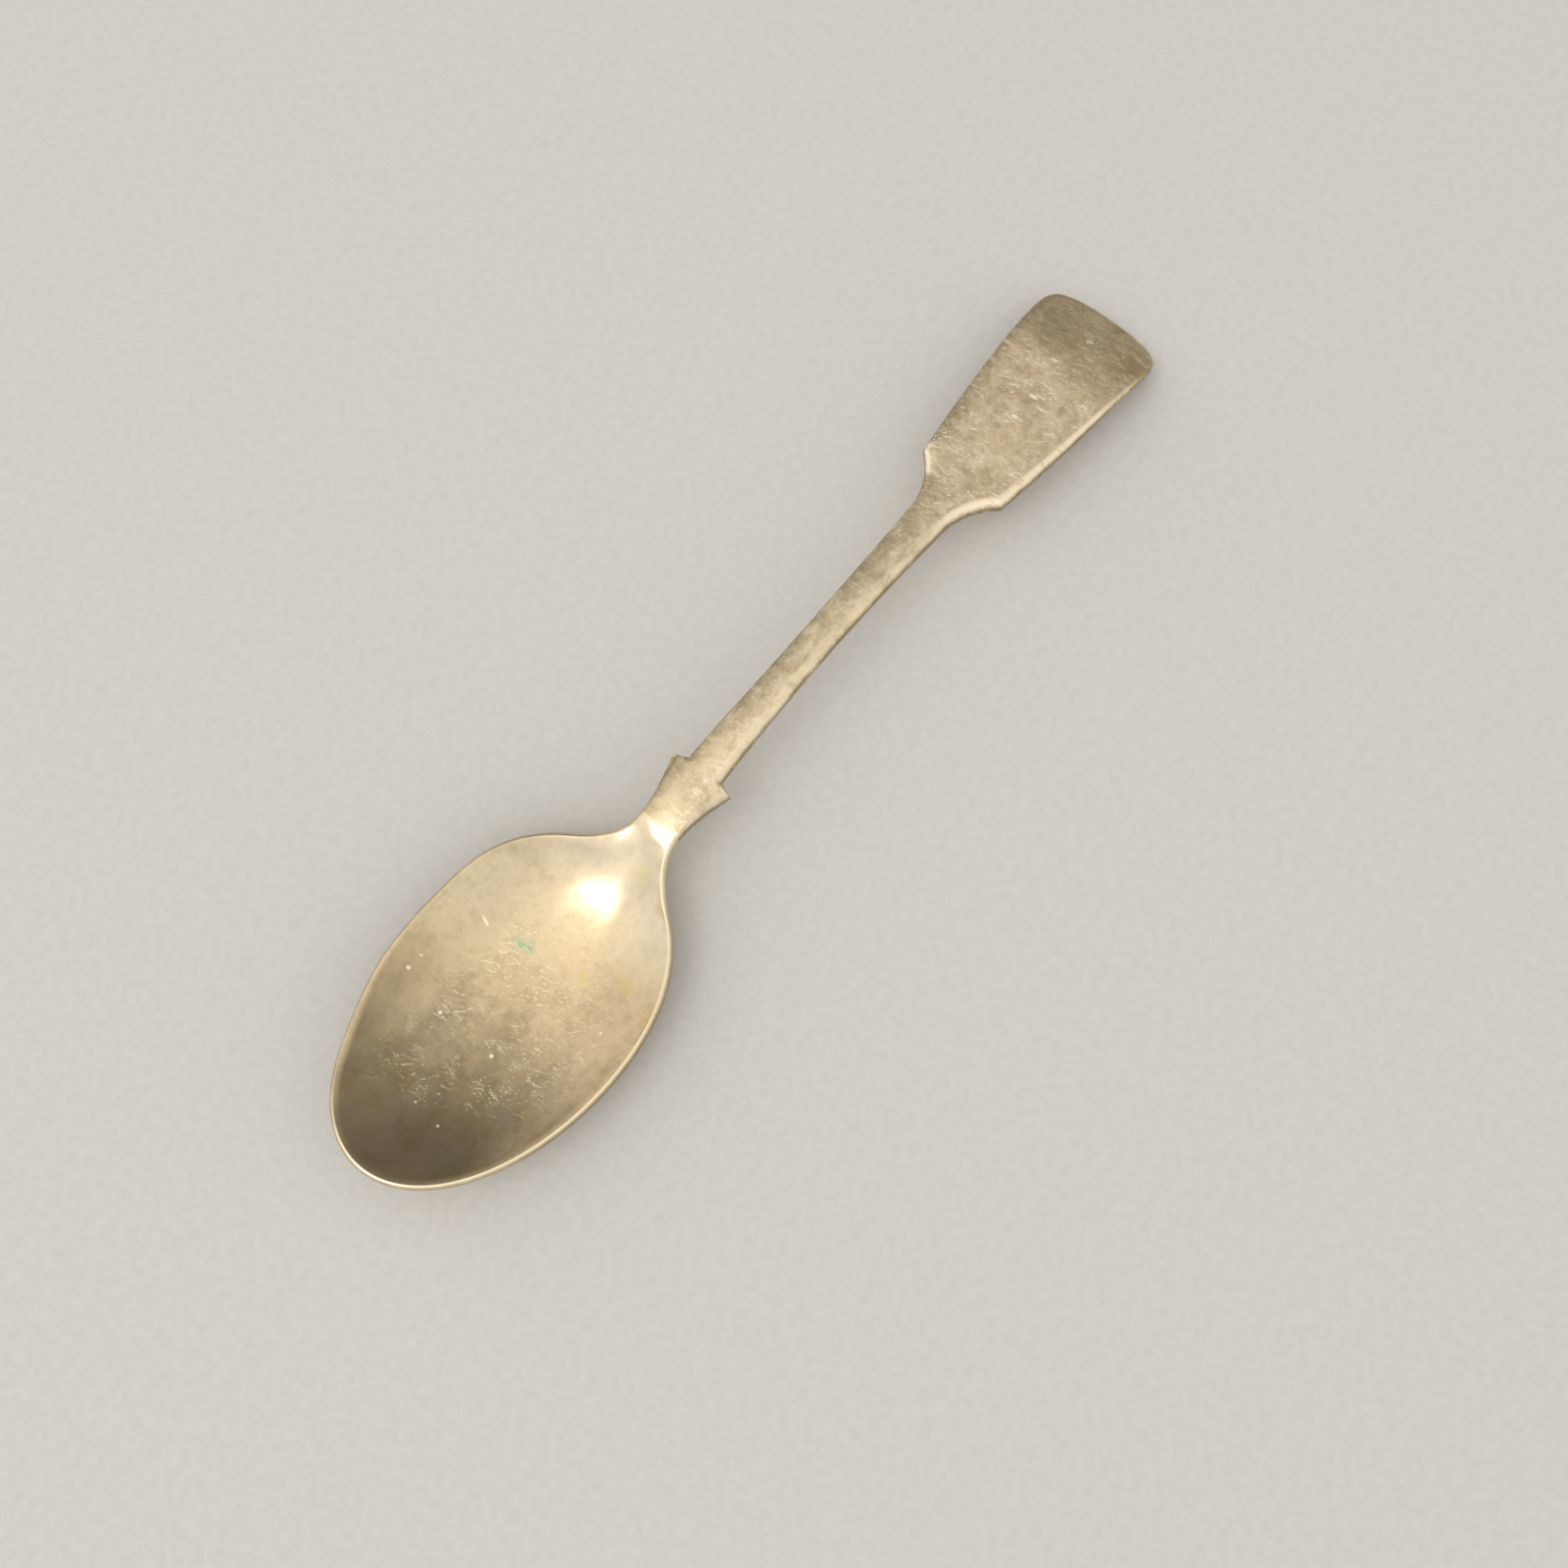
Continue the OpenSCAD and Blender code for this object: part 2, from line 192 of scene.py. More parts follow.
# The outline that edge distances are measured to
OUTLINE_START = NECK_X - 4
OUTLINE_STEP = 0.1
OUTLINE_ROUND_STEPS = 90
# Half the span of a slope, and small values that keep a divisor or a width above zero
STEP = 0.01
TINY = 1e-6
SLIM = 1e-4
# Edge shares, in rim widths, of points far from the edge
FAR_IN_BOWL = 9.0
FAR_ON_DROP = 3.0


# ---- curves --------------------------------------------------------------------------
def blend(x, a, b):
    """Cubic from knot a to knot b, each (station, value, slope)."""
    d = b[0] - a[0]
    t = (x - a[0]) / d
    rise = a[1] * (2 * t**3 - 3 * t**2 + 1) + b[1] * (3 * t**2 - 2 * t**3)
    return rise + d * (a[2] * (t**3 - 2 * t**2 + t) + b[2] * (t**3 - t**2))


def fade(x, start, end):
    """Goes smoothly from 0 at start to 1 at end."""
    t = np.clip((x - start) / (end - start), 0, 1)
    return t * t * (3 - 2 * t)


def bump(x, start, end):
    """A smooth hump, 1 in the middle of a span and 0 outside it."""
    t = np.clip((x - start) / (end - start), 0, 1)
    return np.sin(np.pi * t) ** 2


def mixed(share, a, b):
    return a + (b - a) * share


# ---- plan ----------------------------------------------------------------------------
def bowl_shoulder(x):
    """Half the bowl's width behind its widest place."""
    reach = np.clip((x - BOWL_WIDEST) / BOWL_SHOULDER, 0, 1)
    return BOWL_W / 2 * np.sqrt(1 - reach**SHOULDER_POWER)


FILLET_SLOPE = (bowl_shoulder(FILLET_X + STEP) - bowl_shoulder(FILLET_X - STEP)) / (2 * STEP)
FILLET_KNOT = (FILLET_X, bowl_shoulder(FILLET_X), FILLET_SLOPE)


def stem_half(x):
    reach = np.where(x < STEM_THIN_X, STEM_THIN_X - FIN_X, SWEEP_X - STEM_THIN_X)
    return STEM_W / 2 + STEM_FLARE * ((x - STEM_THIN_X) / reach) ** 2


def sweep_half(x):
    """The flare under the fiddle, part of a circle on each side."""

    def rise(d):
        return SWEEP_R - np.sqrt(np.maximum(SWEEP_R**2 - d**2, 0))

    share = rise(x - SWEEP_X) / rise(SHOULDER_X - SWEEP_X)
    return mixed(share, stem_half(SWEEP_X), SHOULDER_W / 2)


def fiddle_half(x):
    s = np.clip((x - SHOULDER_X) / (ROUND_X - SHOULDER_X), 0, 1)
    side = mixed(s, SHOULDER_W / 2, FIDDLE_W / 2) + FIDDLE_BOW * 4 * s * (1 - s)
    e = np.clip((x - ROUND_X) / ROUND_LEN, 0, 1)
    rounded = (1 - e ** ROUND_POWERS[0]) ** ROUND_POWERS[1]
    return np.where(x < ROUND_X, side, FIDDLE_W / 2 * rounded)


def half_width(x, side=RIGHT):
    """Half the width at station x, on one side."""
    x = np.asarray(x, float)
    swell = 0.0
    if side == LEFT:
        swell = SWELL * bump(x, *SWELL_SPAN) - FLAT_SPOT * bump(x, *FLAT_SPOT_SPAN)
    tip = np.clip((BOWL_WIDEST - x) / BOWL_WIDEST, 0, 1)
    neck = blend(x, (NECK_X, NECK_W / 2, 0), (FIN_TIP_X, FIN_W / 2, FIN_SLOPE))
    notch = (x - FIN_TIP_X) / (FIN_X - FIN_TIP_X)
    stretches = [
        (BOWL_WIDEST, BOWL_W / 2 * np.sqrt(1 - tip**2)),
        (FILLET_X, bowl_shoulder(x)),
        (NECK_X, blend(x, FILLET_KNOT, (NECK_X, NECK_W / 2, 0))),
        (FIN_TIP_X, neck),
        (FIN_X, mixed(notch, FIN_W / 2, stem_half(FIN_X))),
        (SWEEP_X, stem_half(x)),
        (SHOULDER_X, sweep_half(x)),
    ]
    ends, widths = zip(*stretches)
    return np.select([x < end for end in ends], widths, fiddle_half(x)) + swell


# ---- elevation -----------------------------------------------------------------------
# Knots of the face line, each (station, height, slope)
FACE_KNOTS = [
    (RIM_LOW_X, RIM_LOW_Z, 0),
    (CREASE_X, RIM_LOW_Z + 1.0, 0.32),
    (NECK_TOP_X, RIM_LOW_Z + 2.3, 0.18),
    (ARCH_X, ARCH_Z, 0),
    (ARCH_END_X, ARCH_Z - 0.9, -0.09),
    (SHOULDER_X, SHOULDER_Z, FACE_SLOPE),
]
TURN_DROP = SHOULDER_Z + FACE_SLOPE * (END_X - SHOULDER_X) - END_T


def face_z(x):
    """Height of the rim, and of the handle's face, at station x."""
    x = np.asarray(x, float)
    tip = RIM_LOW_Z + (RIM_TIP_Z - RIM_LOW_Z) * ((RIM_LOW_X - x) / RIM_LOW_X) ** 2
    turned = np.clip((x - TURN_X) / (END_X - TURN_X), 0, None)
    tail = SHOULDER_Z + FACE_SLOPE * (x - SHOULDER_X) - TURN_DROP * turned**2
    pairs = list(zip(FACE_KNOTS, FACE_KNOTS[1:]))
    conditions = [x < RIM_LOW_X] + [x < b[0] for a, b in pairs]
    return np.select(conditions, [tip] + [blend(x, a, b) for a, b in pairs], tail)


def edge_size(x, which):
    """Width (0), drop (1) or wall (2) of the rounded edge at station x."""
    x = np.asarray(x, float)
    to_stem = mixed(fade(x, NECK_X, STEM_EDGE_X), RIM_EDGE[which], STEM_EDGE[which])
    to_fiddle = mixed(fade(x, SWEEP_X, SHOULDER_X), STEM_EDGE[which], FIDDLE_EDGE[which])
    along = np.clip((x - SHOULDER_X) / (ROUND_X - SHOULDER_X), 0, 1)
    to_end = mixed(along, FIDDLE_EDGE[which], END_EDGE[which])
    return np.select([x < SWEEP_X, x < SHOULDER_X], [to_stem, to_fiddle], to_end)


def low_z(x):
    """Height of the lower edge of the side wall."""
    return face_z(x) - edge_size(x, 1) - edge_size(x, 2)


def back_z(x):
    """Height of the underside along the middle, before the flat is worn off the bowl."""
    x = np.asarray(x, float)
    neck_back = face_z(NECK_X) - NECK_T
    tip = (low_z(x) + WEAR) * ((BOWL_WIDEST - x) / BOWL_WIDEST) ** 2 - WEAR
    heel = (neck_back + WEAR) * ((x - BOWL_WIDEST) / (NECK_X - BOWL_WIDEST)) ** 2 - WEAR
    stem_back = face_z(BACK_KNOT_X) - STEM_T
    start = (NECK_X, neck_back, NECK_BACK_SLOPE)
    neck = blend(x, start, (BACK_KNOT_X, stem_back, STEM_BACK_SLOPE))
    thinned = mixed(np.clip((x - SWEEP_X) / FIDDLE_THINS_OVER, 0, 1), STEM_T, FIDDLE_T)
    at_end = mixed(fade(x, TURN_X, END_X), FIDDLE_T, END_T)
    thickness = np.where(x < TURN_X, thinned, at_end)
    stations = [x < BOWL_WIDEST, x < NECK_X, x < BACK_KNOT_X]
    return np.select(stations, [tip, heel, neck], face_z(x) - thickness)


def edge_fall(t, x):
    """Share of the edge's drop at t, from 0 on the face to 1 at the wall: a quarter
    circle round the bowl's rim, and flatter, like a worn bevel, on the handle."""
    quarter = 1 - np.sqrt(np.clip(1 - t**2, 0, 1))
    bevelled = BEVEL_SHARE * fade(x, NECK_X, STEM_EDGE_X)
    return mixed(bevelled, quarter, t**BEVEL_POWER)


def neck_fall(x, y):
    """How far the neck's face and the fins' wings lie under the level of the face."""
    crowned = fade(x, *CROWN_BEGINS) * (1 - fade(x, *CROWN_ENDS))
    out = np.maximum(np.abs(y) - WING_FROM, 0)
    wing = np.where(y > 0, WING_SLOPE[LEFT], WING_SLOPE[RIGHT]) * out
    winged = fade(x, *WING_SPAN) * (x < FIN_X + STEP)
    return crowned * CROWN * (y - CROWN_Y) ** 2 + winged * wing


def crease_fall(x, y, gap):
    """Rounding of the crease, where two surfaces are a gap apart in height."""
    size = CREASE_SOFTNESS * fade(y, *SOFT_ACROSS) * fade(x, *SOFT_ALONG) + TINY
    return np.maximum(size - gap, 0) ** 2 / (4 * size)


# ---- bowl ----------------------------------------------------------------------------
def hollow_half(x, side):
    """Half width of the hollow: the outline moved in by the rounded rim."""
    x = np.asarray(x, float)
    slope = (half_width(x + STEP, side) - half_width(x - STEP, side)) / (2 * STEP)
    reach = np.clip((BOWL_WIDEST - x) / (BOWL_WIDEST - RIM_EDGE[0]), 0, 1)
    tip = (BOWL_W / 2 - RIM_EDGE[0]) * np.sqrt(1 - reach**2)
    if side == LEFT:
        tip = tip - FLAT_SPOT * bump(x, *FLAT_SPOT_SPAN)
    behind = half_width(x, side) - RIM_EDGE[0] * np.hypot(1, slope)
    return np.where(x < BOWL_WIDEST, tip, behind)


def side_of(y):
    return np.where(y > 0, LEFT, RIGHT)


def on_sides(function, x, y):
    """A half width on whichever side y is."""
    return np.where(y > 0, function(x, LEFT), function(x, RIGHT))


def inside_z(x, y):
    """Height of the hollow: a stretched bowl of revolution in front of the widest place,
    and behind it arcs that climb to the crease."""
    rise = face_z(x) - BOWL_WALL
    tip_u = (BOWL_WIDEST - x) / (BOWL_WIDEST - RIM_EDGE[0])
    heel_u = (x - BOWL_WIDEST) / (CREASE_X - BOWL_WIDEST)
    dish = (tip_u**2 + (y / (BOWL_W / 2 - RIM_EDGE[0])) ** 2) ** (DISH_POWER / 2)
    climb = np.clip(heel_u, 0, 1) ** HEEL_POWER
    power = mixed(np.clip(heel_u, 0, 1), DISH_POWER, CREASE_POWER)
    half = np.maximum(on_sides(hollow_half, x, y), STEP)
    arcs = climb + (1 - climb) * np.abs(y / half) ** power
    share = np.where(x < BOWL_WIDEST, dish, arcs)
    return BOWL_WALL + rise * share - crease_fall(x, y, rise * (1 - share))


def outside_z(x, y):
    """Height of the bowl's back, with the flat that is worn off under it."""
    u = (BOWL_WIDEST - x) / BOWL_WIDEST
    dish = (low_z(x) + WEAR) * (u**2 + (y / (BOWL_W / 2)) ** 2) - WEAR
    outer = np.maximum(on_sides(half_width, x, y), STEP)
    arcs = back_z(x) + (low_z(x) - back_z(x)) * (y / outer) ** 2
    return np.maximum(np.where(x < BOWL_WIDEST, dish, arcs), 0)


def across(w_left, w_right, run):
    """Places across a section, from the left edge to the right, close together where
    the edge turns over."""
    turn = np.sin(np.linspace(np.pi / 2, 0, BAND_STEPS + 1))
    left = w_left - run * (1 - turn)
    right = -(w_right - run * (1 - turn))[::-1]
    flat = np.linspace(left[-1], right[0], FLAT_STEPS + 1)
    return np.concatenate([left, flat[1:-1], right])


def section_run(x, w):
    """How far in from the edge a section is sampled closely."""
    slope = (half_width(x + STEP) - half_width(x - STEP)) / (2 * STEP)
    run = float(edge_size(x, 0)) * math.hypot(1, min(abs(slope), STEEPEST))
    return min(run, WIDEST_RUN * w)


def bowl_plan(tip, far, hollow):
    """A closed ring in plan: from the neck along the left side, round the tip, back
    along the right side and across the neck."""
    outline = hollow_half if hollow else half_width
    i = np.arange(1, SIDE_STEPS + 1)
    x = tip + (far - tip) * (1 - np.cos(np.pi * i / SIDE_STEPS)) / 2
    left, right = outline(x, LEFT), outline(x, RIGHT)
    cuts = across(left[-1], right[-1], section_run(far, right[-1]))[::-1][1:-1]
    ring_x = np.concatenate([x[::-1], [tip], x, np.full(len(cuts), far)])
    ring_y = np.concatenate([left[::-1], [0], -right, cuts])
    return np.stack([ring_x, ring_y], axis=1)


def rim_z(x, y, s):
    """Height of the rim's band, at share s from the hollow to the outline."""
    hollow, outer = on_sides(hollow_half, x, y), on_sides(half_width, x, y)
    by_width = np.clip((np.abs(y) - hollow) / np.maximum(outer - hollow, STEP), 0, 1)
    t = np.where(x < BOWL_WIDEST, s, by_width)
    beyond = np.maximum((x - BOWL_WIDEST) / (CREASE_X - BOWL_WIDEST), 1) ** HEEL_POWER - 1
    rounding = crease_fall(x, y, (face_z(x) - BOWL_WALL) * beyond)
    return face_z(x) - edge_size(x, 1) * edge_fall(t, x) - neck_fall(x, y) - rounding


def wall_between(top, low):
    """Heights down a side wall, evenly spaced, ends left out."""
    return [mixed(share, top, low) for share in np.linspace(0, 1, WALL_STEPS + 1)[1:-1]]


def make_bowl():
    """Rings from the middle of the inside, over the rim, to the middle of the back."""
    inner = bowl_plan(RIM_EDGE[0], CREASE_X, True)
    outer = bowl_plan(0.0, NECK_X, False)
    middle = np.array([BOWL_WIDEST, 0.0])
    shares = 1 - (1 - np.arange(1, DISH_STEPS + 1) / DISH_STEPS) ** DISH_CROWDING
    rings, edges = [], []

    def add(plan, z, edge):
        rings.append(np.column_stack([plan, z]))
        edges.append(np.full(len(plan), edge) if np.isscalar(edge) else edge)

    reach = np.hypot(*(inner - middle).T)
    for r in shares:
        plan = middle + (inner - middle) * r
        add(plan, inside_z(*plan.T), 1 + reach * (1 - r) / RIM_EDGE[0])
    for a in np.linspace(0, np.pi / 2, BAND_STEPS + 1)[1:]:
        s = math.sin(a)
        plan = inner + (outer - inner) * s
        add(plan, rim_z(*plan.T, s), 1 - s)
    top, low = rings[-1][:, 2], outside_z(*outer.T)
    for z in wall_between(top, low):
        add(outer, z, 0.0)
    for r in shares[::-1]:
        plan = middle + (outer - middle) * r
        add(plan, outside_z(*plan.T), reach * (1 - r) / RIM_EDGE[0])
    first_cut = 2 * SIDE_STEPS
    last_skin = DISH_STEPS + BAND_STEPS - 1
    mesh = Skin(rings, edges)
    mesh.pole(0, (BOWL_WIDEST, 0.0, BOWL_WALL), FAR_IN_BOWL)
    mesh.pole(len(rings) - 1, (BOWL_WIDEST, 0.0, 0.0), FAR_IN_BOWL)
    mesh.flat_between(last_skin, last_skin + WALL_STEPS, first_cut)
    return mesh


# ---- handle --------------------------------------------------------------------------
def rounded_end(count):
    """Stations round the end of the handle, closer together towards its last point."""
    turn = np.arcsin((END_X - ROUND_X) / ROUND_LEN)
    return ROUND_X + ROUND_LEN * np.sin(np.linspace(0, turn, count))


def outline_of_handle(side):
    """One side of the handle in plan, from the neck to the middle of the end."""
    straight = np.arange(OUTLINE_START, ROUND_X, OUTLINE_STEP)
    corners = [FIN_TIP_X, FIN_X, SHOULDER_X]
    x = np.unique(np.concatenate([straight, rounded_end(OUTLINE_ROUND_STEPS), corners]))
    line = np.column_stack([x, side * half_width(x, side)])
    return np.vstack([line, [END_X, 0.0]])


OUTLINES = {side: outline_of_handle(side) for side in (LEFT, RIGHT)}


def edge_distance(x, y):
    """Distance in plan from points to the handle's outline."""
    points = np.column_stack([x, y])
    nearest = np.full(len(points), np.inf)
    for side in (LEFT, RIGHT):
        a, b = OUTLINES[side][:-1], OUTLINES[side][1:]
        d = b - a
        behind_fin = (a[:, 0] >= FIN_TIP_X - STEP) & (b[:, 0] <= FIN_X + STEP)
        widening = np.where(behind_fin, NOTCH_SHARPNESS, 1.0)
        rows = np.where(side_of(y) == side)[0]
        offset = points[rows, None, :] - a[None]
        length2 = np.maximum((d * d).sum(1), TINY**2)
        along = np.clip((offset * d).sum(2) / length2, 0, 1)
        gap = offset - along[..., None] * d
        nearest[rows] = (np.sqrt((gap**2).sum(2)) * widening).min(1)
    return nearest


def handle_rings(stations):
    """Closed sections: over the face from left to right, and back along the underside."""
    rings, edges = [], []
    for x in stations:
        w_left, w_right = float(half_width(x, LEFT)), float(half_width(x, RIGHT))
        y = across(w_left, w_right, section_run(x, w_right))
        xs = np.full(len(y), x)
        d = edge_distance(xs, y)
        d[0] = d[-1] = 0
        t = np.clip(1 - d / edge_size(x, 0), 0, 1)
        top = face_z(x) - edge_size(x, 1) * edge_fall(t, x) - neck_fall(xs, y)
        share = y / np.where(y > 0, w_left, w_right)
        under = np.maximum(back_z(x) + (low_z(x) - back_z(x)) * share**2, 0)
        right = [(x, y[-1], z) for z in wall_between(top[-1], under[-1])]
        left = [(x, y[0], z) for z in wall_between(under[0], top[0])]
        faces = np.column_stack([xs, y, top]), np.column_stack([xs, y, under])[::-1]
        rings.append(np.vstack([faces[0], right, faces[1], left]))
        wear = d / edge_size(x, 0)
        on_wall = np.zeros(len(right))
        edges.append(np.concatenate([wear, on_wall, wear[::-1], on_wall]))
    return rings, edges


def capped(rings, edges):
    """A mesh with flat ends, from sections in order along the spoon."""
    mesh = Skin(rings[::-1], edges[::-1])
    mesh.close(0)
    mesh.close(len(rings) - 1)
    return mesh


def make_length(stations):
    """A stretch of the handle."""
    return capped(*handle_rings(stations))


def steps(start, end, size):
    """Even stations from start to end, about size apart."""
    return np.linspace(start, end, max(2, int(round((end - start) / size)) + 1))


def make_neck():
    neck = steps(NECK_X, FIN_TIP_X, NECK_STEP)
    notch = steps(FIN_TIP_X, FIN_X, NOTCH_STEP)
    return make_length(np.concatenate([neck[:-1], notch]))


def make_stem():
    return make_length(steps(FIN_X, SWEEP_X, STEM_STEP))


def make_shoulders():
    return make_length(steps(SWEEP_X, SHOULDER_X, SHOULDER_STEP))


def make_fiddle():
    return make_length(steps(SHOULDER_X, TURN_X, FIDDLE_STEP))


def make_turned_end():
    straight = steps(TURN_X, ROUND_X, FIDDLE_STEP)
    return make_length(np.concatenate([straight[:-1], rounded_end(ROUND_STEPS)]))


# ---- heel drop -----------------------------------------------------------------------
def make_heel_drop():
    """The tongue that the neck runs out into on the back of the bowl."""
    rings, edges = [], []
    t = np.sin(np.linspace(np.pi / 2, -np.pi / 2, DROP_ACROSS))
    shares = np.linspace(DROP_FIRST, 1, DROP_STEPS) ** 2
    for x in DROP_TIP_X + (NECK_X - DROP_TIP_X) * shares:
        short = max(0.0, (DROP_ROUND_X - x) / (DROP_ROUND_X - DROP_TIP_X))
        run = max(0.0, (x - DROP_ROUND_X) / (NECK_X - DROP_ROUND_X))
        y = DROP_W / 2 * math.sqrt(max(1 - short**2, SLIM)) * t
        xs = np.full(len(y), x)
        top = outside_z(xs, y)
        crown = (1 - t ** DROP_POWERS[0]) * (1 - short ** DROP_POWERS[1])
        under = np.maximum(top - DROP_SKIN - DROP_T * (1 - run**2) * crown, 0)
        upper, lower = (np.column_stack([xs, y, z]) for z in (top, under))
        rings.append(np.vstack([upper, lower[::-1]]))
        edges.append(np.full(2 * len(y), FAR_ON_DROP))
    return capped(rings, edges)


# ---- mesh building -------------------------------------------------------------------
class Skin:
    """Closed rings of points joined by quads, in millimetres. For the materials, each
    point has its distance from the spoon's edge, as a share of the rounding's width."""

    def __init__(self, rings, edges):
        self.n = len(rings[0])
        self.points = [tuple(p) for ring in rings for p in ring]
        self.edge = [float(e) for ring in edges for e in ring]
        self.faces = [self.quad(i, j) for i in range(len(rings) - 1) for j in range(self.n)]
        self.flat = set()

    def quad(self, i, j):
        """From point j of ring i to the next point and ring, facing outward."""
        a, b, nxt = i * self.n, (i + 1) * self.n, (j + 1) % self.n
        return (a + j, b + j, b + nxt, a + nxt)

    def pole(self, ring, point, edge):
        """A fan from one point to the first or the last ring."""
        self.points.append(tuple(point))
        self.edge.append(edge)
        tip, start = len(self.points) - 1, ring * self.n
        for j in range(self.n):
            a, b = start + j, start + (j + 1) % self.n
            self.faces.append((tip, a, b) if ring == 0 else (tip, b, a))

    def flat_between(self, first, last, column):
        """The quads between two rings, from a column to the end, are a flat cut."""
        for i in range(first, last):
            self.flat.update(i * self.n + j for j in range(column, self.n))

    def close(self, ring):
        """Closes the first or the last section with a flat cut."""
        start = ring * self.n
        self.flat.add(len(self.faces))
        loop = list(range(start, start + self.n))
        self.faces.append(tuple(loop if ring == 0 else loop[::-1]))

    def build(self, name, material):
        """The Blender object."""
        data = bpy.data.meshes.new(name)
        shift = np.array([MIDDLE_X, 0, 0])
        data.from_pydata(((np.array(self.points) - shift) * MM).tolist(), [], self.faces)
        data.polygons.foreach_set("use_smooth", [True] * len(data.polygons))
        wear = data.attributes.new("edge_share", "FLOAT", "POINT")
        wear.data.foreach_set("value", self.edge)
        self.sharpen(data)
        data.materials.append(material)
        piece = bpy.data.objects.new(name, data)
        bpy.context.scene.collection.objects.link(piece)
        return piece

    def sharpen(self, data):
        """The border of each flat cut is a sharp edge."""
        touching = {}
        for index, face in enumerate(self.faces):
            for pair in zip(face, face[1:] + face[:1]):
                touching.setdefault(frozenset(pair), []).append(index in self.flat)
        borders = {pair for pair, flat in touching.items() if any(flat) and not all(flat)}
        values = [frozenset(edge.vertices) in borders for edge in data.edges]
        sharp = data.attributes.new("sharp_edge", "BOOLEAN", "EDGE")
        sharp.data.foreach_set("value", values)


# ---- material helpers ----------------------------------------------------------------
class Nodes:
    """Adds nodes to one tree. An input is a number, a colour or another node's socket."""

    def __init__(self, tree):
        self.tree = tree

    def put(self, socket, value):
        """Links a node's output to an input, or sets the input to a fixed value."""
        if isinstance(value, bpy.types.NodeSocket):
            self.tree.links.new(value, socket)
        else:
            socket.default_value = value

    def add(self, kind, inputs=None, **settings):
        node = self.tree.nodes.new(kind)
        for key, value in settings.items():
            setattr(node, key, value)
        for key, value in (inputs or {}).items():
            self.put(node.inputs[key], value)
        return node

    def math(self, operation, a, b=0.0, clamp=False):
        node = self.add("ShaderNodeMath", {0: a, 1: b}, operation=operation, use_clamp=clamp)
        return node.outputs[0]

    def chain(self, operation, values):
        result = values[0]
        for value in values[1:]:
            result = self.math(operation, result, value)
        return result

    def times(self, *values):
        return self.chain("MULTIPLY", values)

    def plus(self, *values):
        return self.chain("ADD", values)

    def less(self, *values):
        return self.chain("SUBTRACT", values)

    def most(self, *values):
        return self.chain("MAXIMUM", values)

    def size(self, value):
        return self.math("ABSOLUTE", value)

    def vector(self, operation, a, b=(0, 0, 0)):
        node = self.add("ShaderNodeVectorMath", {0: a, 1: b}, operation=operation)
        return node.outputs["Value" if operation in ("LENGTH", "DOT_PRODUCT") else "Vector"]

    def split(self, vector):
        return self.add("ShaderNodeSeparateXYZ", {0: vector}).outputs

    def turned(self, vector, angle):
        inputs = {"Vector": vector, "Angle": angle}
        return self.add("ShaderNodeVectorRotate", inputs, rotation_type="Z_AXIS").outputs[0]

    def ramp(self, value, start, end, low=0.0, high=1.0):
        """Goes smoothly from low, where value is start, to high, where it is end."""
        if start > end:
            start, end, low, high = end, start, high, low
        inputs = {"Value": value, "From Min": start, "From Max": end}
        inputs.update({"To Min": low, "To Max": high})
        node = self.add("ShaderNodeMapRange", inputs, interpolation_type="SMOOTHSTEP")
        return node.outputs["Result"]

    def noise(self, vector, scale, detail=2.0, rough=0.5, distortion=0.0, output="Fac"):
        inputs = {"Vector": vector, "Scale": scale, "Detail": detail, "Roughness": rough}
        inputs["Distortion"] = distortion
        return self.add("ShaderNodeTexNoise", inputs).outputs[output]

    def mix(self, share, a, b, blend="MIX"):
        inputs = {0: share, 6: a, 7: b}
        node = self.add("ShaderNodeMix", inputs, data_type="RGBA", blend_type=blend)
        return node.outputs[2]

    def cover(self, colour, paint, *shares):
        """The colour, covered by the paint as far as the product of the shares says."""
        return self.mix(self.times(*shares), colour, paint)

    def place(self):
        """The point being shaded: (station, y, z) in millimetres."""
        where = self.add("ShaderNodeTexCoord").outputs["Object"]
        inputs = {"Vector": where, "Location": (MIDDLE_X, 0, 0), "Scale": (1 / MM,) * 3}
        return self.add("ShaderNodeMapping", inputs).outputs["Vector"]


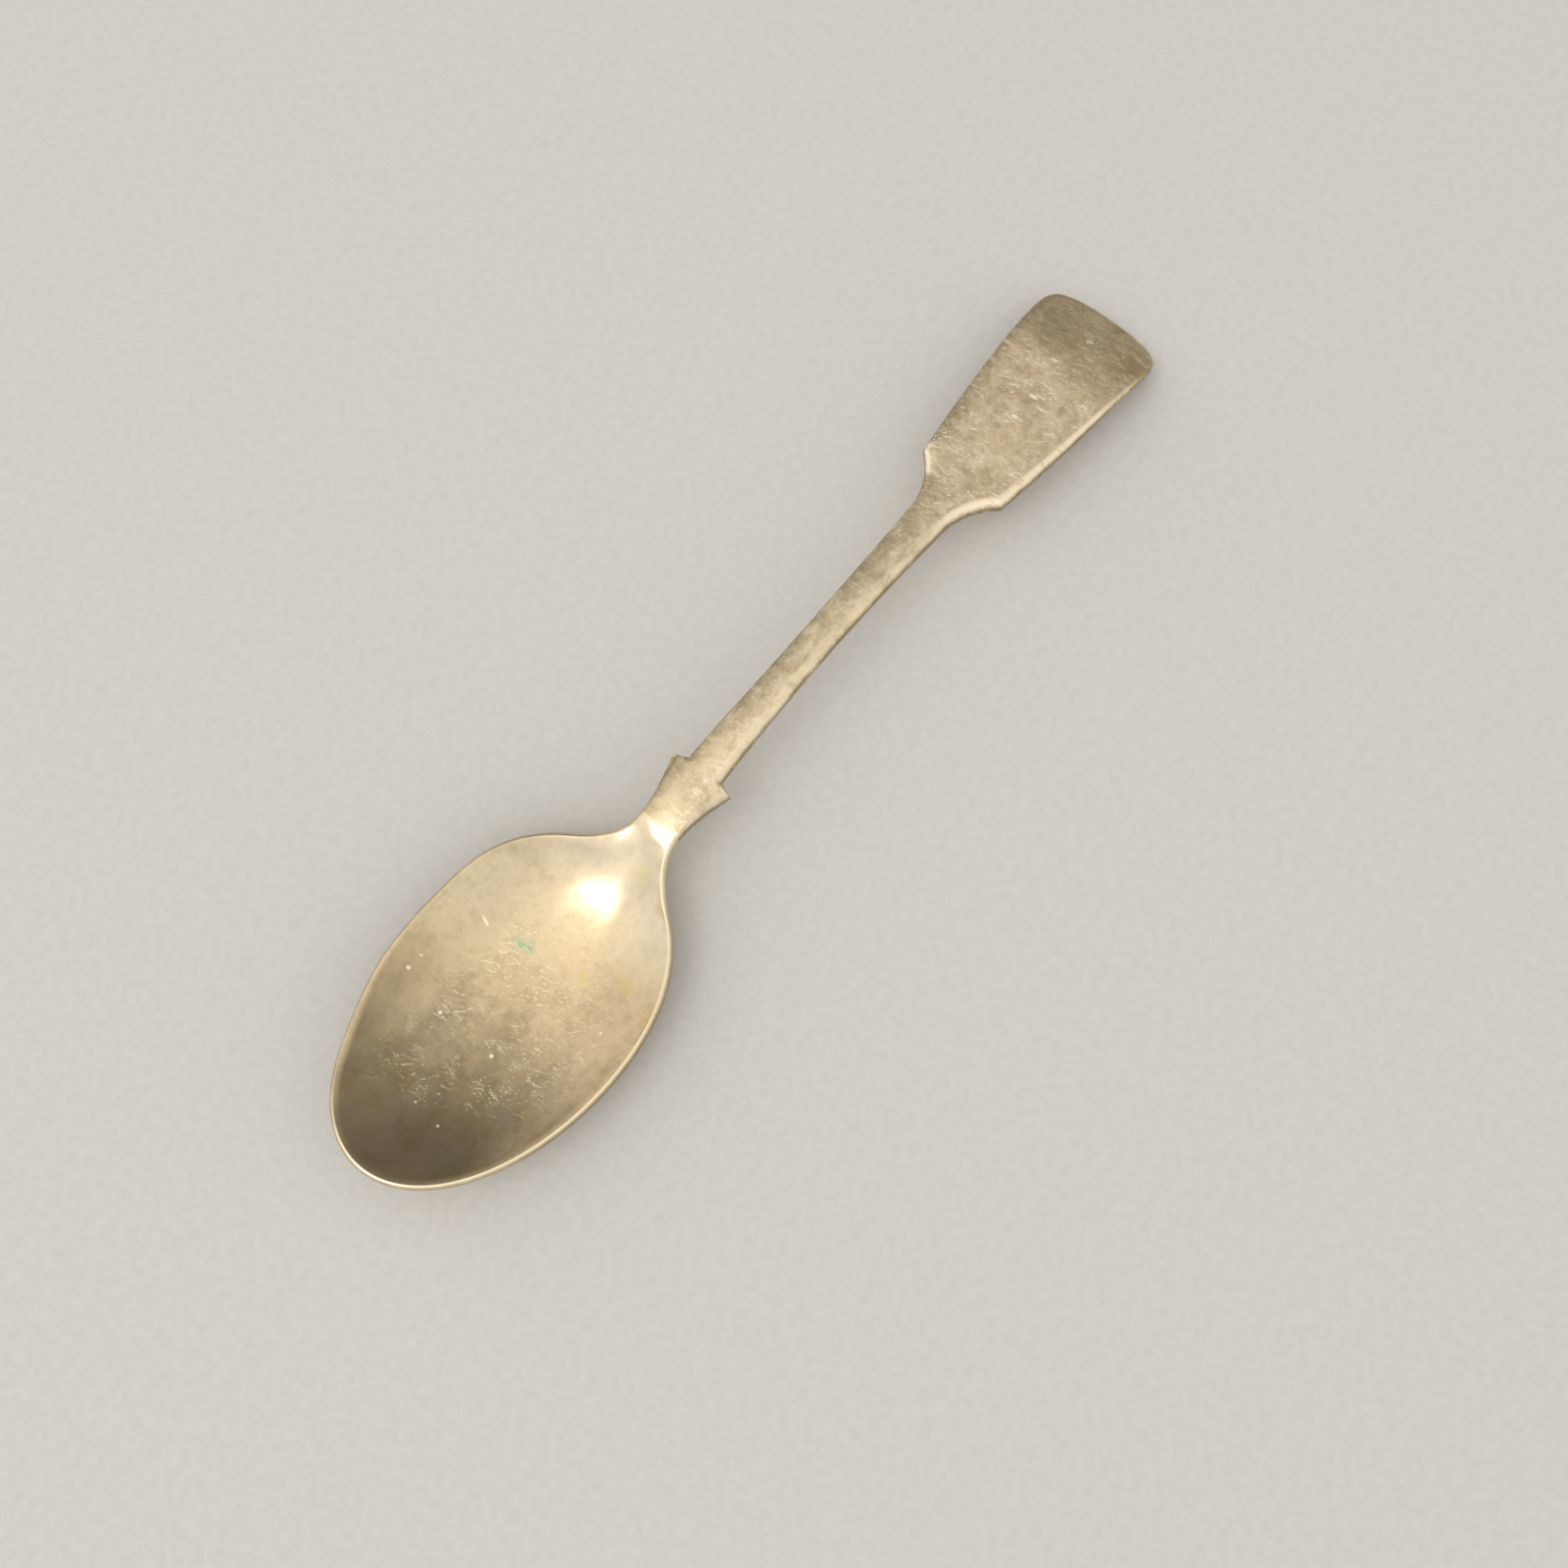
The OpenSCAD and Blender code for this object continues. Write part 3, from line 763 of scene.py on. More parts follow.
class Metal(Nodes):
    """The nodes of a metal, with what its marks are placed by: the point, how far in from
    the spoon's edge it is, whether its face is level, and whether it looks up."""

    def __init__(self, tree):
        super().__init__(tree)
        self.point = self.place()
        self.x, self.y, _ = self.split(self.point)
        wear = self.add("ShaderNodeAttribute", attribute_name="edge_share")
        self.edge = wear.outputs["Fac"]
        facing = self.split(self.add("ShaderNodeTexCoord").outputs["Normal"])[2]
        self.level = self.ramp(self.size(facing), *LEVEL)
        self.top = self.ramp(facing, *LOOKS_UP)

    def clouds(self, *noise):
        return self.noise(self.point, *noise)

    def stretched(self, scale, *noise):
        return self.noise(self.vector("MULTIPLY", self.point, scale), *noise)

    def spot(self, at, size, heading, ragged, seed):
        """A small patch with an uneven edge: 1 in its middle, 0 outside its size."""
        away = self.vector("ADD", self.point, (seed, 0, 0))
        shaken = self.noise(away, SPOT_SCALE / min(size), *SPOT_NOISE)
        local = self.vector("SUBTRACT", self.point, (*at, 0))
        turned = self.turned(local, math.radians(-heading))
        scaled = self.vector("MULTIPLY", turned, (2 / size[0], 2 / size[1], 0))
        uneven = self.times(self.less(shaken, 0.5), 4 * ragged)
        return self.ramp(self.plus(self.vector("LENGTH", scaled), uneven), *SPOT_EDGE)

    def spots(self, rows):
        return self.most(*[self.spot(*row) for row in rows])

    def scratches(self, vector, cell, length, thick, heading, spread, density, seed):
        """Short straight scratches, at most one to each cell."""
        flat = self.vector("MULTIPLY", vector, (1 / cell, 1 / cell, 0))
        spot = self.vector("ADD", flat, (seed, seed * SEED_TURN, 0))
        inputs = {"Vector": spot, "Scale": 1.0}
        cells = self.add("ShaderNodeTexVoronoi", inputs, voronoi_dimensions="2D")
        chance = self.add("ShaderNodeSeparateColor", {0: cells.outputs["Color"]}).outputs
        local = self.vector("SUBTRACT", spot, cells.outputs["Position"])
        turn = self.times(chance[0], math.radians(-spread))
        turn = self.plus(turn, math.radians(spread / 2 - heading))
        along, aside, _ = self.split(self.turned(local, turn))
        long, wide = length / cell, thick / cell
        body = self.ramp(self.size(along), long * 0.5, long * 0.3)
        core = self.ramp(self.size(aside), wide, wide * 0.25)
        kept = self.ramp(chance[1], density, density * 0.6)
        return self.times(body, core, kept, self.ramp(chance[2], 0.0, 1.0, 0.35, 1.0))


# ---- materials -----------------------------------------------------------------------
CLEAN = (0.72, 0.585, 0.385, 1)
# The handle's metal is painted lighter than the bowl's: painted light over the whole handle
HANDLE_METAL_PAINTED_LIGHTER = (0.82, 0.69, 0.49, 1)
DULL = (0.50, 0.395, 0.245, 1)
DARK = (0.20, 0.155, 0.085, 1)
GREY = (0.235, 0.205, 0.145, 1)
BROWN = (0.30, 0.20, 0.11, 1)
# Polished metal: used for real polish and wear, and for painted highlights
POLISH_AND_HIGHLIGHT = (0.98, 0.87, 0.68, 1)
BRIGHT = (1.0, 0.94, 0.78, 1)
YELLOW = (0.72, 0.58, 0.22, 1)
VERDIGRIS = (0.17, 0.46, 0.27, 1)

# Noises: scale per millimetre, detail, roughness and distortion
BLOTCHES = (0.16, 4.0, 0.6, 0.6)
MOTTLE = (0.75, 4.0, 0.65)
MARBLE = (0.45, 4.0, 0.65, 0.5)
GRAIN = (4.5, 3.0, 0.7)
SPARKLE = (5.0, 2.0, 0.6)
PATCHES = (0.33, 4.0, 0.6)
DRIFT = (0.25, 5.0, 0.62)
SMEARS = (0.6, 5.0, 0.7)
NIBBLES = (1.7, 4.0, 0.6)
WAVES = (0.4, 3.0)
RUBS = ((1.0, 0.45, 1.0), 0.9, 5.0, 0.7, 0.8)
STREAKS = ((0.55, 1.0, 1.0), 0.75, 4.0, 0.6, 0.4)
SPOT_SCALE = 1.6
SPOT_NOISE = (3.0, 0.6)
BEND_SCALE = 0.8
BEND = (0.25, 0.25, 0)

# Scratches: cell, length and thickness in millimetres, heading and spread of headings in
# degrees, share of cells that have one, and seed
SCRATCHES = (
    (1.6, 1.5, 0.11, 112, 50, 0.75, 3.1),
    (2.5, 2.3, 0.10, 104, 70, 0.65, 11.7),
    (0.8, 0.65, 0.10, 108, 60, 0.65, 27.3),
    (0.5, 0.34, 0.11, 104, 90, 0.45, 41.9),
)
SEED_TURN = 1.7

# Spots: middle (station, y), size (length, width), heading in degrees, raggedness, seed
SMUDGE = ((15.5, 1.0), (25.0, 18.0), 8, 0.12, 5.0)
# Patches of painted shade in the bowl: how dark, and the spot
PAINTED_SHADES = (
    (0.24, ((11.8, -2.8), (10.0, 9.0), 90, 0.2, 17.0)),
    (0.26, ((8.0, 6.2), (10.0, 9.0), 0, 0.2, 18.0)),
    (0.12, ((25.6, 0.0), (8.0, 13.0), 0, 0.2, 19.0)),
)
LACQUER = (
    ((43.2, -1.6), (3.4, 2.6), 20, 0.3, 1.0),
    ((30.2, -3.7), (2.4, 1.6), 60, 0.6, 2.0),
    ((32.7, -8.5), (3.4, 2.4), 60, 0.6, 3.0),
    ((31.3, -12.6), (3.4, 1.2), 10, 0.4, 4.0),
)
GREEN_FLECK = ((28.8, 3.9), (2.7, 1.0), 100, 0.6, 6.0)
GREEN_HALO = ((28.9, 4.0), (3.4, 2.2), 100, 0.5, 16.0)
PITS = (
    ((18.8, 11.4), 0.6), ((17.3, 5.9), 0.6), ((17.3, -1.6), 0.6), ((26.9, -9.6), 0.5),
    ((8.2, -2.7), 0.45), ((8.5, 1.0), 0.4), ((20.7, 11.3), 0.35),
)
GOUGE = ((28.1, 8.8), (1.8, 0.4), 66, 0.25, 20.0)
# Painted sheen on the neck
PAINTED_NECK_SHEEN = ((52.2, 0.6), (9.0, 6.0), 0, 0.25, 15.0)
PATCH = ((126.3, 3.8), (6.5, 9.0), 20, 0.4, 14.0)
CORNER = ((130.5, -6.5), (9.0, 7.5), 60, 0.3, 8.0)
NICKS = (
    ((117.6, 0.1), (1.6, 0.75), 95, 0.2, 9.0),
    ((113.9, 0.2), (1.2, 0.7), 90, 0.2, 10.0),
    ((129.0, -0.3), (1.5, 0.75), 110, 0.2, 11.0),
    ((123.4, 1.2), (1.1, 0.7), 100, 0.2, 12.0),
)

# How much of the metal under it each mark covers
# Some marks are painted light and shade: shade on the bowl's left wall, the rim's outside,
# the handle's side walls and the neck, and a highlight on the right wall at the heel
COVER = {
    "smudge": 0.35, "wall": 0.42, "painted_light": 0.28, "lacquer": 0.45, "rim": 0.45,
    "scratches": 0.7, "verdigris": 0.62, "halo": 0.45, "pits": 0.9, "side": 0.6,
    "end": 0.35, "corner": 0.42, "stained": 0.25, "greyed": 0.25, "patch": 0.16,
    "painted_neck_shade": 0.12,
}

# Ramps: where they start and end, and the values there if those aren't 0 and 1.
# Everywhere: by the height of the normal, by noise, by station or by edge
LEVEL = (0.55, 0.85)
LOOKS_UP = (0.0, 0.3)
SPOT_EDGE = (1.0, 0.45)
HANDLE_BEGINS = (47.0, 62.0)
BLOTCHED = (0.42, 0.68, 0.0, 0.5)
MOTTLED = (0.42, 0.72, 0.0, 0.5)
GRAINED = (0.40, 0.70, 0.0, 0.35)
PATCHY = (0.40, 0.56)
# Rim crest: polish from wear, and a painted highlight brighter on the right
CREST_SHARE = 0.85
CREST = (0.4, 0.05)
CREST_ALONG = (46.0, 43.0)
CREST_ACROSS = (3.0, -3.0, 0.15, 0.75)
ROUGH_ALONG = (0.0, 1.0, 0.20, 0.50)
ROUGH_MOTTLED = (0.3, 0.7, -0.03, 0.07)
ROUGH_WORN = 0.12
# The bowl
SMEARED = (0.38, 0.6, 0.2, 1.0)
# Darkening towards the tip: partly tarnished metal, partly painted shade
TARNISH_AND_SHADE_LEAN = 0.3
TARNISH_AND_SHADE_DRIFT = 10.0
TARNISH_AND_SHADE_ALONG = (25.0, 8.5)
TARNISH_AND_SHADE_OFF_RIM = (1.0, 2.4)
TARNISH_AND_SHADE_FROM_TIP = (2.5, 8.0, 0.42, 0.72)
TARNISH_AND_SHADE_SIDES = (3.0, 10.0, 0.0, 0.24)
TARNISH_AND_SHADE_RIGHT = (-10.5, -7.0, 0.65, 1.0)
TARNISH_AND_SHADE_MARBLED = (0.4, 0.6)
# Painted shade on the bowl's left wall
WALL_ACROSS = (7.5, 11.5)
WALL_ENDS = (27.0, 17.0)
WALL_BEGINS = (4.0, 9.0)
WALL_OFF_RIM = (0.9, 1.8)
# Painted highlight on the bowl's right wall at the heel
LIT_ACROSS = (-2.5, -5.5)
LIT_ALONG = (31.0, 36.0)
# Painted shade on the rim's outside
RIM_OUTSIDE = (0.5, 0.1)
RIM_ACROSS = (4.0, 8.5)
RIM_ALONG = (9.0, 14.0)
USED_LEAN = 0.8
USED_MIDDLE = 2.0
USED_ALONG = (36.0, 26.0, 0.15, 1.0)
USED_FROM_TIP = (5.5, 11.0, 0.06, 0.9)
USED_ACROSS = (11.5, 7.0, 0.05, 1.0)
# Painted highlight towards the heel
PAINTED_HEEL_HIGHLIGHT = (35.0, 43.0, 0.0, 0.25)
# The handle
STEM_BEGINS = (56.0, 64.0)
STEM_ENDS = (99.0, 93.0)
# Painted highlight along the handle's right edge
BEVEL_INSET = (0.0, 1.0, 0.15, 0.35)
BEVEL_INSIDE = (1.15, 0.75)
BEVEL_OUTSIDE = (0.1, 0.5)
BEVEL_ACROSS = (0.5, -0.8)
BEVEL_ENDS = (132.0, 126.0)
BEVEL_BEGINS = (56.0, 66.0, 0.35, 1.0)
BEVEL_ON_STEM = (0.0, 1.0, 1.0, 0.38)
# Painted highlight on a facet of the left edge at the shoulder
FACET_BEGINS = (100.8, 101.6)
FACET_ENDS = (105.2, 104.4)
FACET_ACROSS = (2.0, 3.0)
FACET_EDGE = (0.7, 0.4)
# Painted shade along the handle's left edge
LEFT_EDGE = (3.2, 0.3)
LEFT_ACROSS = (-0.5, 0.8)
LEFT_NIBBLED = (0.35, 0.6, 0.65, 1.0)
LEFT_BEGINS = (52.0, 58.0, 0.5, 1.0)
LEFT_STRENGTH = (104.0, 109.0, 0.36, 0.55)
# Painted shade on the handle's side walls
SIDE_EDGE = (0.25, 0.0)
END_WAVES = 5.0
END_ALONG = (121.0, 129.0)
RUBBED = (0.50, 0.68, 0.0, 0.5)
STAINED = (0.46, 0.34)
GREYED = (0.42, 0.56)
GREYED_ACROSS = (-0.9, 0.3)
HAZE_BEGINS = (54.0, 66.0, 0.35, 1.0)
HAZE_ENDS = (119.0, 127.0, 1.0, 0.55)
HAZE_ON_STEM = (0.0, 1.0, 1.0, 0.4)
# Sparkle of the neck's painted sheen
SPARKLING = (0.4, 0.6, 0.0, 0.2)
# Painted shade over the neck
NECK_SHADE_BEGINS = (48.5, 50.5)
NECK_SHADE_ENDS = (58.0, 53.0)

# Heights in millimetres
GRAIN_HEIGHT = 0.0022
MOTTLE_HEIGHT = 0.006
SCRATCH_DEPTH = 0.004
MARK_HEIGHT = 0.02


def bare_metal(m, on_handle, mottle, grain):
    """Plating that has gone dull in blotches, at three sizes."""
    # The handle is painted lighter than the bowl: painted light
    metal = m.mix(on_handle, CLEAN, HANDLE_METAL_PAINTED_LIGHTER)
    blotched = m.ramp(m.clouds(*BLOTCHES), *BLOTCHED)
    colour = m.mix(m.plus(blotched, m.ramp(mottle, *MOTTLED)), metal, DULL)
    return m.mix(m.ramp(grain, *GRAINED), colour, DULL)


def scratch_haze(m):
    """Fine scratches in patches, where the surface is level."""
    bend = m.noise(m.point, BEND_SCALE, output="Color")
    bent = m.vector("ADD", m.point, m.vector("MULTIPLY", bend, BEND))
    fine = m.most(*[m.scratches(bent, *family) for family in SCRATCHES])
    return m.times(fine, m.ramp(m.clouds(*PATCHES), *PATCHY), m.level)


def rim_crest_wear_and_highlight(m):
    """The crest of the bowl's rim, painted lighter: polish from wear, and a painted
    highlight that is brighter on the right.
    """
    crest = m.ramp(m.size(m.less(m.edge, CREST_SHARE)), *CREST)
    return m.times(crest, m.ramp(m.x, *CREST_ALONG), m.ramp(m.y, *CREST_ACROSS))


def metal_with_wear_and_painted_light(name, marks):
    """Nickel silver with what is left of its plating, and light and shade painted into its
    colour.
    The same formula covers bowl and handle, so that no seam shows between them. marks adds
    a zone's own marks, both real ones and painted light and shade, to a colour and a haze of
    scratches, and returns both, the stains that aren't shiny, and heights."""
    material = bpy.data.materials.new(name)
    material.use_nodes = True
    m = Metal(material.node_tree)
    on_handle = m.ramp(m.x, *HANDLE_BEGINS)
    mottle, grain = m.clouds(*MOTTLE), m.clouds(*GRAIN)
    colour = bare_metal(m, on_handle, mottle, grain)
    colour, haze, stain, height = marks(m, colour, scratch_haze(m))
    colour = m.cover(colour, POLISH_AND_HIGHLIGHT, rim_crest_wear_and_highlight(m))

    rough = m.plus(m.ramp(on_handle, *ROUGH_ALONG), m.ramp(mottle, *ROUGH_MOTTLED))
    rough = m.math("ADD", rough, m.times(m.plus(haze, stain), ROUGH_WORN), clamp=True)
    relief = m.plus(m.times(grain, GRAIN_HEIGHT), m.times(mottle, MOTTLE_HEIGHT))
    relief = m.plus(m.less(relief, m.times(haze, SCRATCH_DEPTH)), height)
    bump = m.add("ShaderNodeBump", {"Strength": 1.0, "Distance": MM, "Height": relief})

    shader = material.node_tree.nodes["Principled BSDF"]
    m.put(shader.inputs["Metallic"], 1.0)
    m.put(shader.inputs["Base Color"], colour)
    m.put(shader.inputs["Roughness"], rough)
    m.put(shader.inputs["Normal"], bump.outputs[0])
    return material


# ---- marks on the bowl ---------------------------------------------------------------
def tip_tarnish_and_shade(m, colour):
    """Darker towards the tip and stronger along the walls: partly dark and grey tarnished
    metal, partly painted shade.
    """
    drift = m.times(m.less(m.clouds(*DRIFT), 0.5), TARNISH_AND_SHADE_DRIFT)
    tipward = m.plus(m.x, m.times(m.y, TARNISH_AND_SHADE_LEAN), drift)
    from_tip = m.ramp(m.x, *TARNISH_AND_SHADE_FROM_TIP)
    strength = m.plus(from_tip, m.ramp(m.size(m.y), *TARNISH_AND_SHADE_SIDES))
    off_rim = m.ramp(m.edge, *TARNISH_AND_SHADE_OFF_RIM)
    right = m.ramp(m.y, *TARNISH_AND_SHADE_RIGHT)
    paint = m.mix(m.ramp(m.clouds(*MARBLE), *TARNISH_AND_SHADE_MARBLED), DARK, GREY)
    tarnish_and_shade = m.ramp(tipward, *TARNISH_AND_SHADE_ALONG)
    return m.cover(colour, paint, tarnish_and_shade, off_rim, strength, m.top, right)


def bowl_painted_shade_and_light(m, colour):
    """Painted shade on the left wall and in patches near the tip, and a painted highlight on
    the right wall at the heel.
    """
    along = m.times(m.ramp(m.x, *WALL_ENDS), m.ramp(m.x, *WALL_BEGINS))
    off_rim = m.ramp(m.edge, *WALL_OFF_RIM)
    wall = m.times(m.ramp(m.y, *WALL_ACROSS), along, off_rim, COVER["wall"])
    patches = [m.times(m.spot(*row), strength) for strength, row in PAINTED_SHADES]
    colour = m.cover(colour, DARK, m.most(wall, *patches), m.top)
    painted_light = m.times(m.ramp(m.y, *LIT_ACROSS), m.ramp(m.x, *LIT_ALONG))
    return m.cover(colour, POLISH_AND_HIGHLIGHT, painted_light, m.top, COVER["painted_light"])


def rim_outside_painted_shade(m, colour):
    """Painted shade: the outer side of the rim is painted darker than its crest, but for the
    tip.
    """
    sides = m.times(m.ramp(m.size(m.y), *RIM_ACROSS), m.ramp(m.x, *RIM_ALONG))
    return m.cover(colour, DARK, m.ramp(m.edge, *RIM_OUTSIDE), sides, COVER["rim"])


def used_middle(m):
    """The part of the bowl that is scratched by use."""
    tipside = m.plus(m.x, m.times(m.math("MINIMUM", m.y, 0.0), USED_LEAN))
    across = m.ramp(m.size(m.plus(m.y, USED_MIDDLE)), *USED_ACROSS)
    return m.times(m.ramp(m.x, *USED_ALONG), m.ramp(tipside, *USED_FROM_TIP), across)


def bowl_pits(m):
    """Seven small pits and one gouge."""
    pits = m.spots([(at, (size, size), 0, 0.1, 0.0) for at, size in PITS])
    return m.times(m.most(pits, m.spot(*GOUGE)), m.top)


def bowl_marks(m, colour, haze):
    """The bowl: a darker, duller smudge over its front, tarnished metal and painted shade
    towards the tip, painted shade on the left wall and the rim's outside, painted highlights
    on the right wall and at the heel, yellow lacquer stains, scratches, verdigris and pits."""
    # Darker and duller over the front of the bowl
    smudge = m.times(m.spot(*SMUDGE), m.ramp(m.clouds(*SMEARS), *SMEARED))
    colour = m.cover(colour, DARK, smudge, m.top, COVER["smudge"])
    colour = bowl_painted_shade_and_light(m, tip_tarnish_and_shade(m, colour))
    colour = m.cover(colour, YELLOW, m.spots(LACQUER), m.top, COVER["lacquer"])
    colour = rim_outside_painted_shade(m, colour)
    haze = m.times(haze, used_middle(m))
    colour = m.cover(colour, POLISH_AND_HIGHLIGHT, haze, COVER["scratches"])
    # Painted highlight, lighter towards the heel
    colour = m.cover(colour, POLISH_AND_HIGHLIGHT, m.ramp(m.x, *PAINTED_HEEL_HIGHLIGHT))
    halo = m.times(m.spot(*GREEN_HALO), COVER["halo"])
    green = m.times(m.most(m.spot(*GREEN_FLECK), halo), m.top)
    colour = m.cover(colour, VERDIGRIS, green, COVER["verdigris"])
    pits = bowl_pits(m)
    colour = m.cover(colour, POLISH_AND_HIGHLIGHT, pits, COVER["pits"])
    height = m.times(m.less(green, pits), MARK_HEIGHT)
    return colour, haze, m.most(green, smudge), height


# ---- marks on the handle -------------------------------------------------------------
def painted_bevel_highlight(m, on_stem):
    """A painted highlight along the right edge, from the neck to the end."""
    inner = m.less(m.edge, m.ramp(on_stem, *BEVEL_INSET))
    band = m.times(m.ramp(inner, *BEVEL_INSIDE), m.ramp(m.edge, *BEVEL_OUTSIDE))
    along = m.times(m.ramp(m.x, *BEVEL_ENDS), m.ramp(m.x, *BEVEL_BEGINS))
    return m.times(band, m.ramp(m.y, *BEVEL_ACROSS), along)


def handle_edges(m, colour, right, on_stem):
    """Painted highlights on the right edge and on a facet at the left shoulder, and painted
    shade on the left edge and on the side walls."""
    # A facet at the left shoulder, with a painted highlight on it
    facet = m.times(m.ramp(m.x, *FACET_BEGINS), m.ramp(m.x, *FACET_ENDS))
    facet = m.times(facet, m.ramp(m.y, *FACET_ACROSS))
    painted_edge_highlight = m.times(right, m.ramp(on_stem, *BEVEL_ON_STEM))
    painted_facet_highlight = m.times(facet, m.ramp(m.edge, *FACET_EDGE))
    colour = m.cover(colour, POLISH_AND_HIGHLIGHT, m.most(painted_edge_highlight, painted_facet_highlight))
    # Painted shade along the left edge, stronger towards the end
    left = m.times(m.ramp(m.edge, *LEFT_EDGE), m.ramp(m.y, *LEFT_ACROSS))
    left = m.times(left, m.ramp(m.clouds(*NIBBLES), *LEFT_NIBBLED), m.less(1.0, facet))
    left = m.times(left, m.ramp(m.x, *LEFT_BEGINS), m.ramp(m.x, *LEFT_STRENGTH))
    colour = m.cover(colour, DARK, left)
    # Painted shade on the side walls
    return m.cover(colour, DARK, m.ramp(m.edge, *SIDE_EDGE), COVER["side"])


def handle_stains(m, colour, on_stem, corner):
    """A dull end with a brown corner, and rubs and stains all along, which run
    lengthwise on the stem."""
    wavy = m.plus(m.x, m.times(m.clouds(*WAVES), END_WAVES))
    colour = m.cover(colour, DULL, m.ramp(wavy, *END_ALONG), COVER["end"])
    colour = m.cover(colour, BROWN, corner, COVER["corner"])
    rubs, streaks = m.stretched(*RUBS), m.stretched(*STREAKS)
    worn = m.plus(rubs, m.times(m.less(streaks, rubs), on_stem))
    colour = m.cover(colour, POLISH_AND_HIGHLIGHT, m.ramp(worn, *RUBBED))
    colour = m.cover(colour, DARK, m.ramp(worn, *STAINED), COVER["stained"])
    greyed = m.times(m.ramp(m.clouds(*MARBLE), *GREYED), m.ramp(m.y, *GREYED_ACROSS))
    return m.cover(colour, GREY, greyed, on_stem, COVER["greyed"])


def handle_marks(m, colour, haze):
    """The handle: painted highlights and shade on its edges, its stains, scratches, a
    painted sheen and painted shade on the neck, and four nicks.
    """
    on_stem = m.times(m.ramp(m.x, *STEM_BEGINS), m.ramp(m.x, *STEM_ENDS))
    # right is the painted highlight along the right edge
    right = painted_bevel_highlight(m, on_stem)
    corner = m.spot(*CORNER)
    colour = handle_edges(m, colour, right, on_stem)
    colour = handle_stains(m, colour, on_stem, corner)
    along = m.times(m.ramp(m.x, *HAZE_BEGINS), m.ramp(m.x, *HAZE_ENDS))
    haze = m.times(haze, along, m.ramp(on_stem, *HAZE_ON_STEM), m.less(1.0, right))
    colour = m.cover(colour, BRIGHT, haze)
    colour = m.cover(colour, DARK, m.spot(*PATCH), COVER["patch"])
    # Painted sheen on the neck, with painted sparkle
    painted_sparkle = m.ramp(m.clouds(*SPARKLE), *SPARKLING)
    colour = m.cover(colour, BRIGHT, m.spot(*PAINTED_NECK_SHEEN), painted_sparkle)
    # Painted shade over the neck
    painted_neck_shade = m.times(m.ramp(m.x, *NECK_SHADE_BEGINS), m.ramp(m.x, *NECK_SHADE_ENDS))
    colour = m.cover(colour, GREY, painted_neck_shade, COVER["painted_neck_shade"])
    nicks = m.times(m.spots(NICKS), m.top)
    colour = m.cover(colour, BRIGHT, nicks)
    return colour, haze, corner, m.times(nicks, -MARK_HEIGHT)


# ---- stage ---------------------------------------------------------------------------
CAMERA_AT = Vector((-0.04152, -0.03821, 0.17697))
CAMERA_AIM = Vector((-0.00510, -0.00642, 0.0))
CAMERA_LENS = 36.0
CAMERA_SENSOR = 36.0
CAMERA_NEAR = 0.005
IMAGE_UP_HEADING = 39.634
KEY_FROM = Vector((-0.44, 0.14, 0.86)).normalized()
KEY_AIM = Vector((-0.03, 0, 0))
KEY_UP = Vector((0, 1, 0))
KEY_DISTANCE = 0.6
KEY_SIZE = (0.025, 0.32)
KEY_POWER = 0.38
KEY_COLOUR = (1.0, 0.95, 0.86)
GLOW_SPAN = (0.70, 0.98, 0.0, 0.26)
GLOW_COLOUR = (1.0, 0.94, 0.84, 1)
BLACK = (0, 0, 0, 1)
# The surround, from the bowl's side to the handle's: (share of the way, brightness)
DARK_HEADING = 16.0
SURROUND = (
    (0.0, 1.3), (0.30, 1.25), (0.45, 0.95), (0.60, 0.95), (0.77, 0.86), (0.88, 0.3),
    (1.0, 0.22),
)
SURROUND_TINT = (1, 0.95, 0.87)
FLOOR_SIZE = 3.0
FLOOR_COLOURS = ((0.60, 0.59, 0.57, 1), (0.64, 0.63, 0.61, 1))
FLOOR_NOISE = (0.9, 4.0, 0.6)
FLOOR_SPAN = (0.3, 0.7)
FLOOR_BUMP = 0.3
FLOOR_DEPTH = 0.1
FLOOR_ROUGHNESS = 0.85


def aimed(at, target, up):
    """A matrix that stands at a point and looks at another."""
    forward = (target - at).normalized()
    right = forward.cross(up).normalized()
    turn = Matrix((right, right.cross(forward), -forward)).transposed()
    return Matrix.Translation(at) @ turn.to_4x4()


def direction(heading):
    """A level unit vector, at an angle in degrees from the spoon's length."""
    angle = math.radians(heading)
    return Vector((math.cos(angle), math.sin(angle), 0))


def make_camera():
    camera = bpy.data.objects.new("camera", bpy.data.cameras.new("camera"))
    camera.data.lens = CAMERA_LENS
    camera.data.sensor_width = CAMERA_SENSOR
    camera.data.clip_start = CAMERA_NEAR
    camera.matrix_world = aimed(CAMERA_AT, CAMERA_AIM, direction(IMAGE_UP_HEADING))
    bpy.context.scene.collection.objects.link(camera)
    bpy.context.scene.camera = camera


def make_key_light():
    light = bpy.data.lights.new("key", "AREA")
    light.shape = "RECTANGLE"
    light.size, light.size_y = KEY_SIZE
    light.energy = KEY_POWER
    light.color = KEY_COLOUR
    key = bpy.data.objects.new("key", light)
    key.matrix_world = aimed(KEY_AIM + KEY_FROM * KEY_DISTANCE, KEY_AIM, KEY_UP)
    bpy.context.scene.collection.objects.link(key)


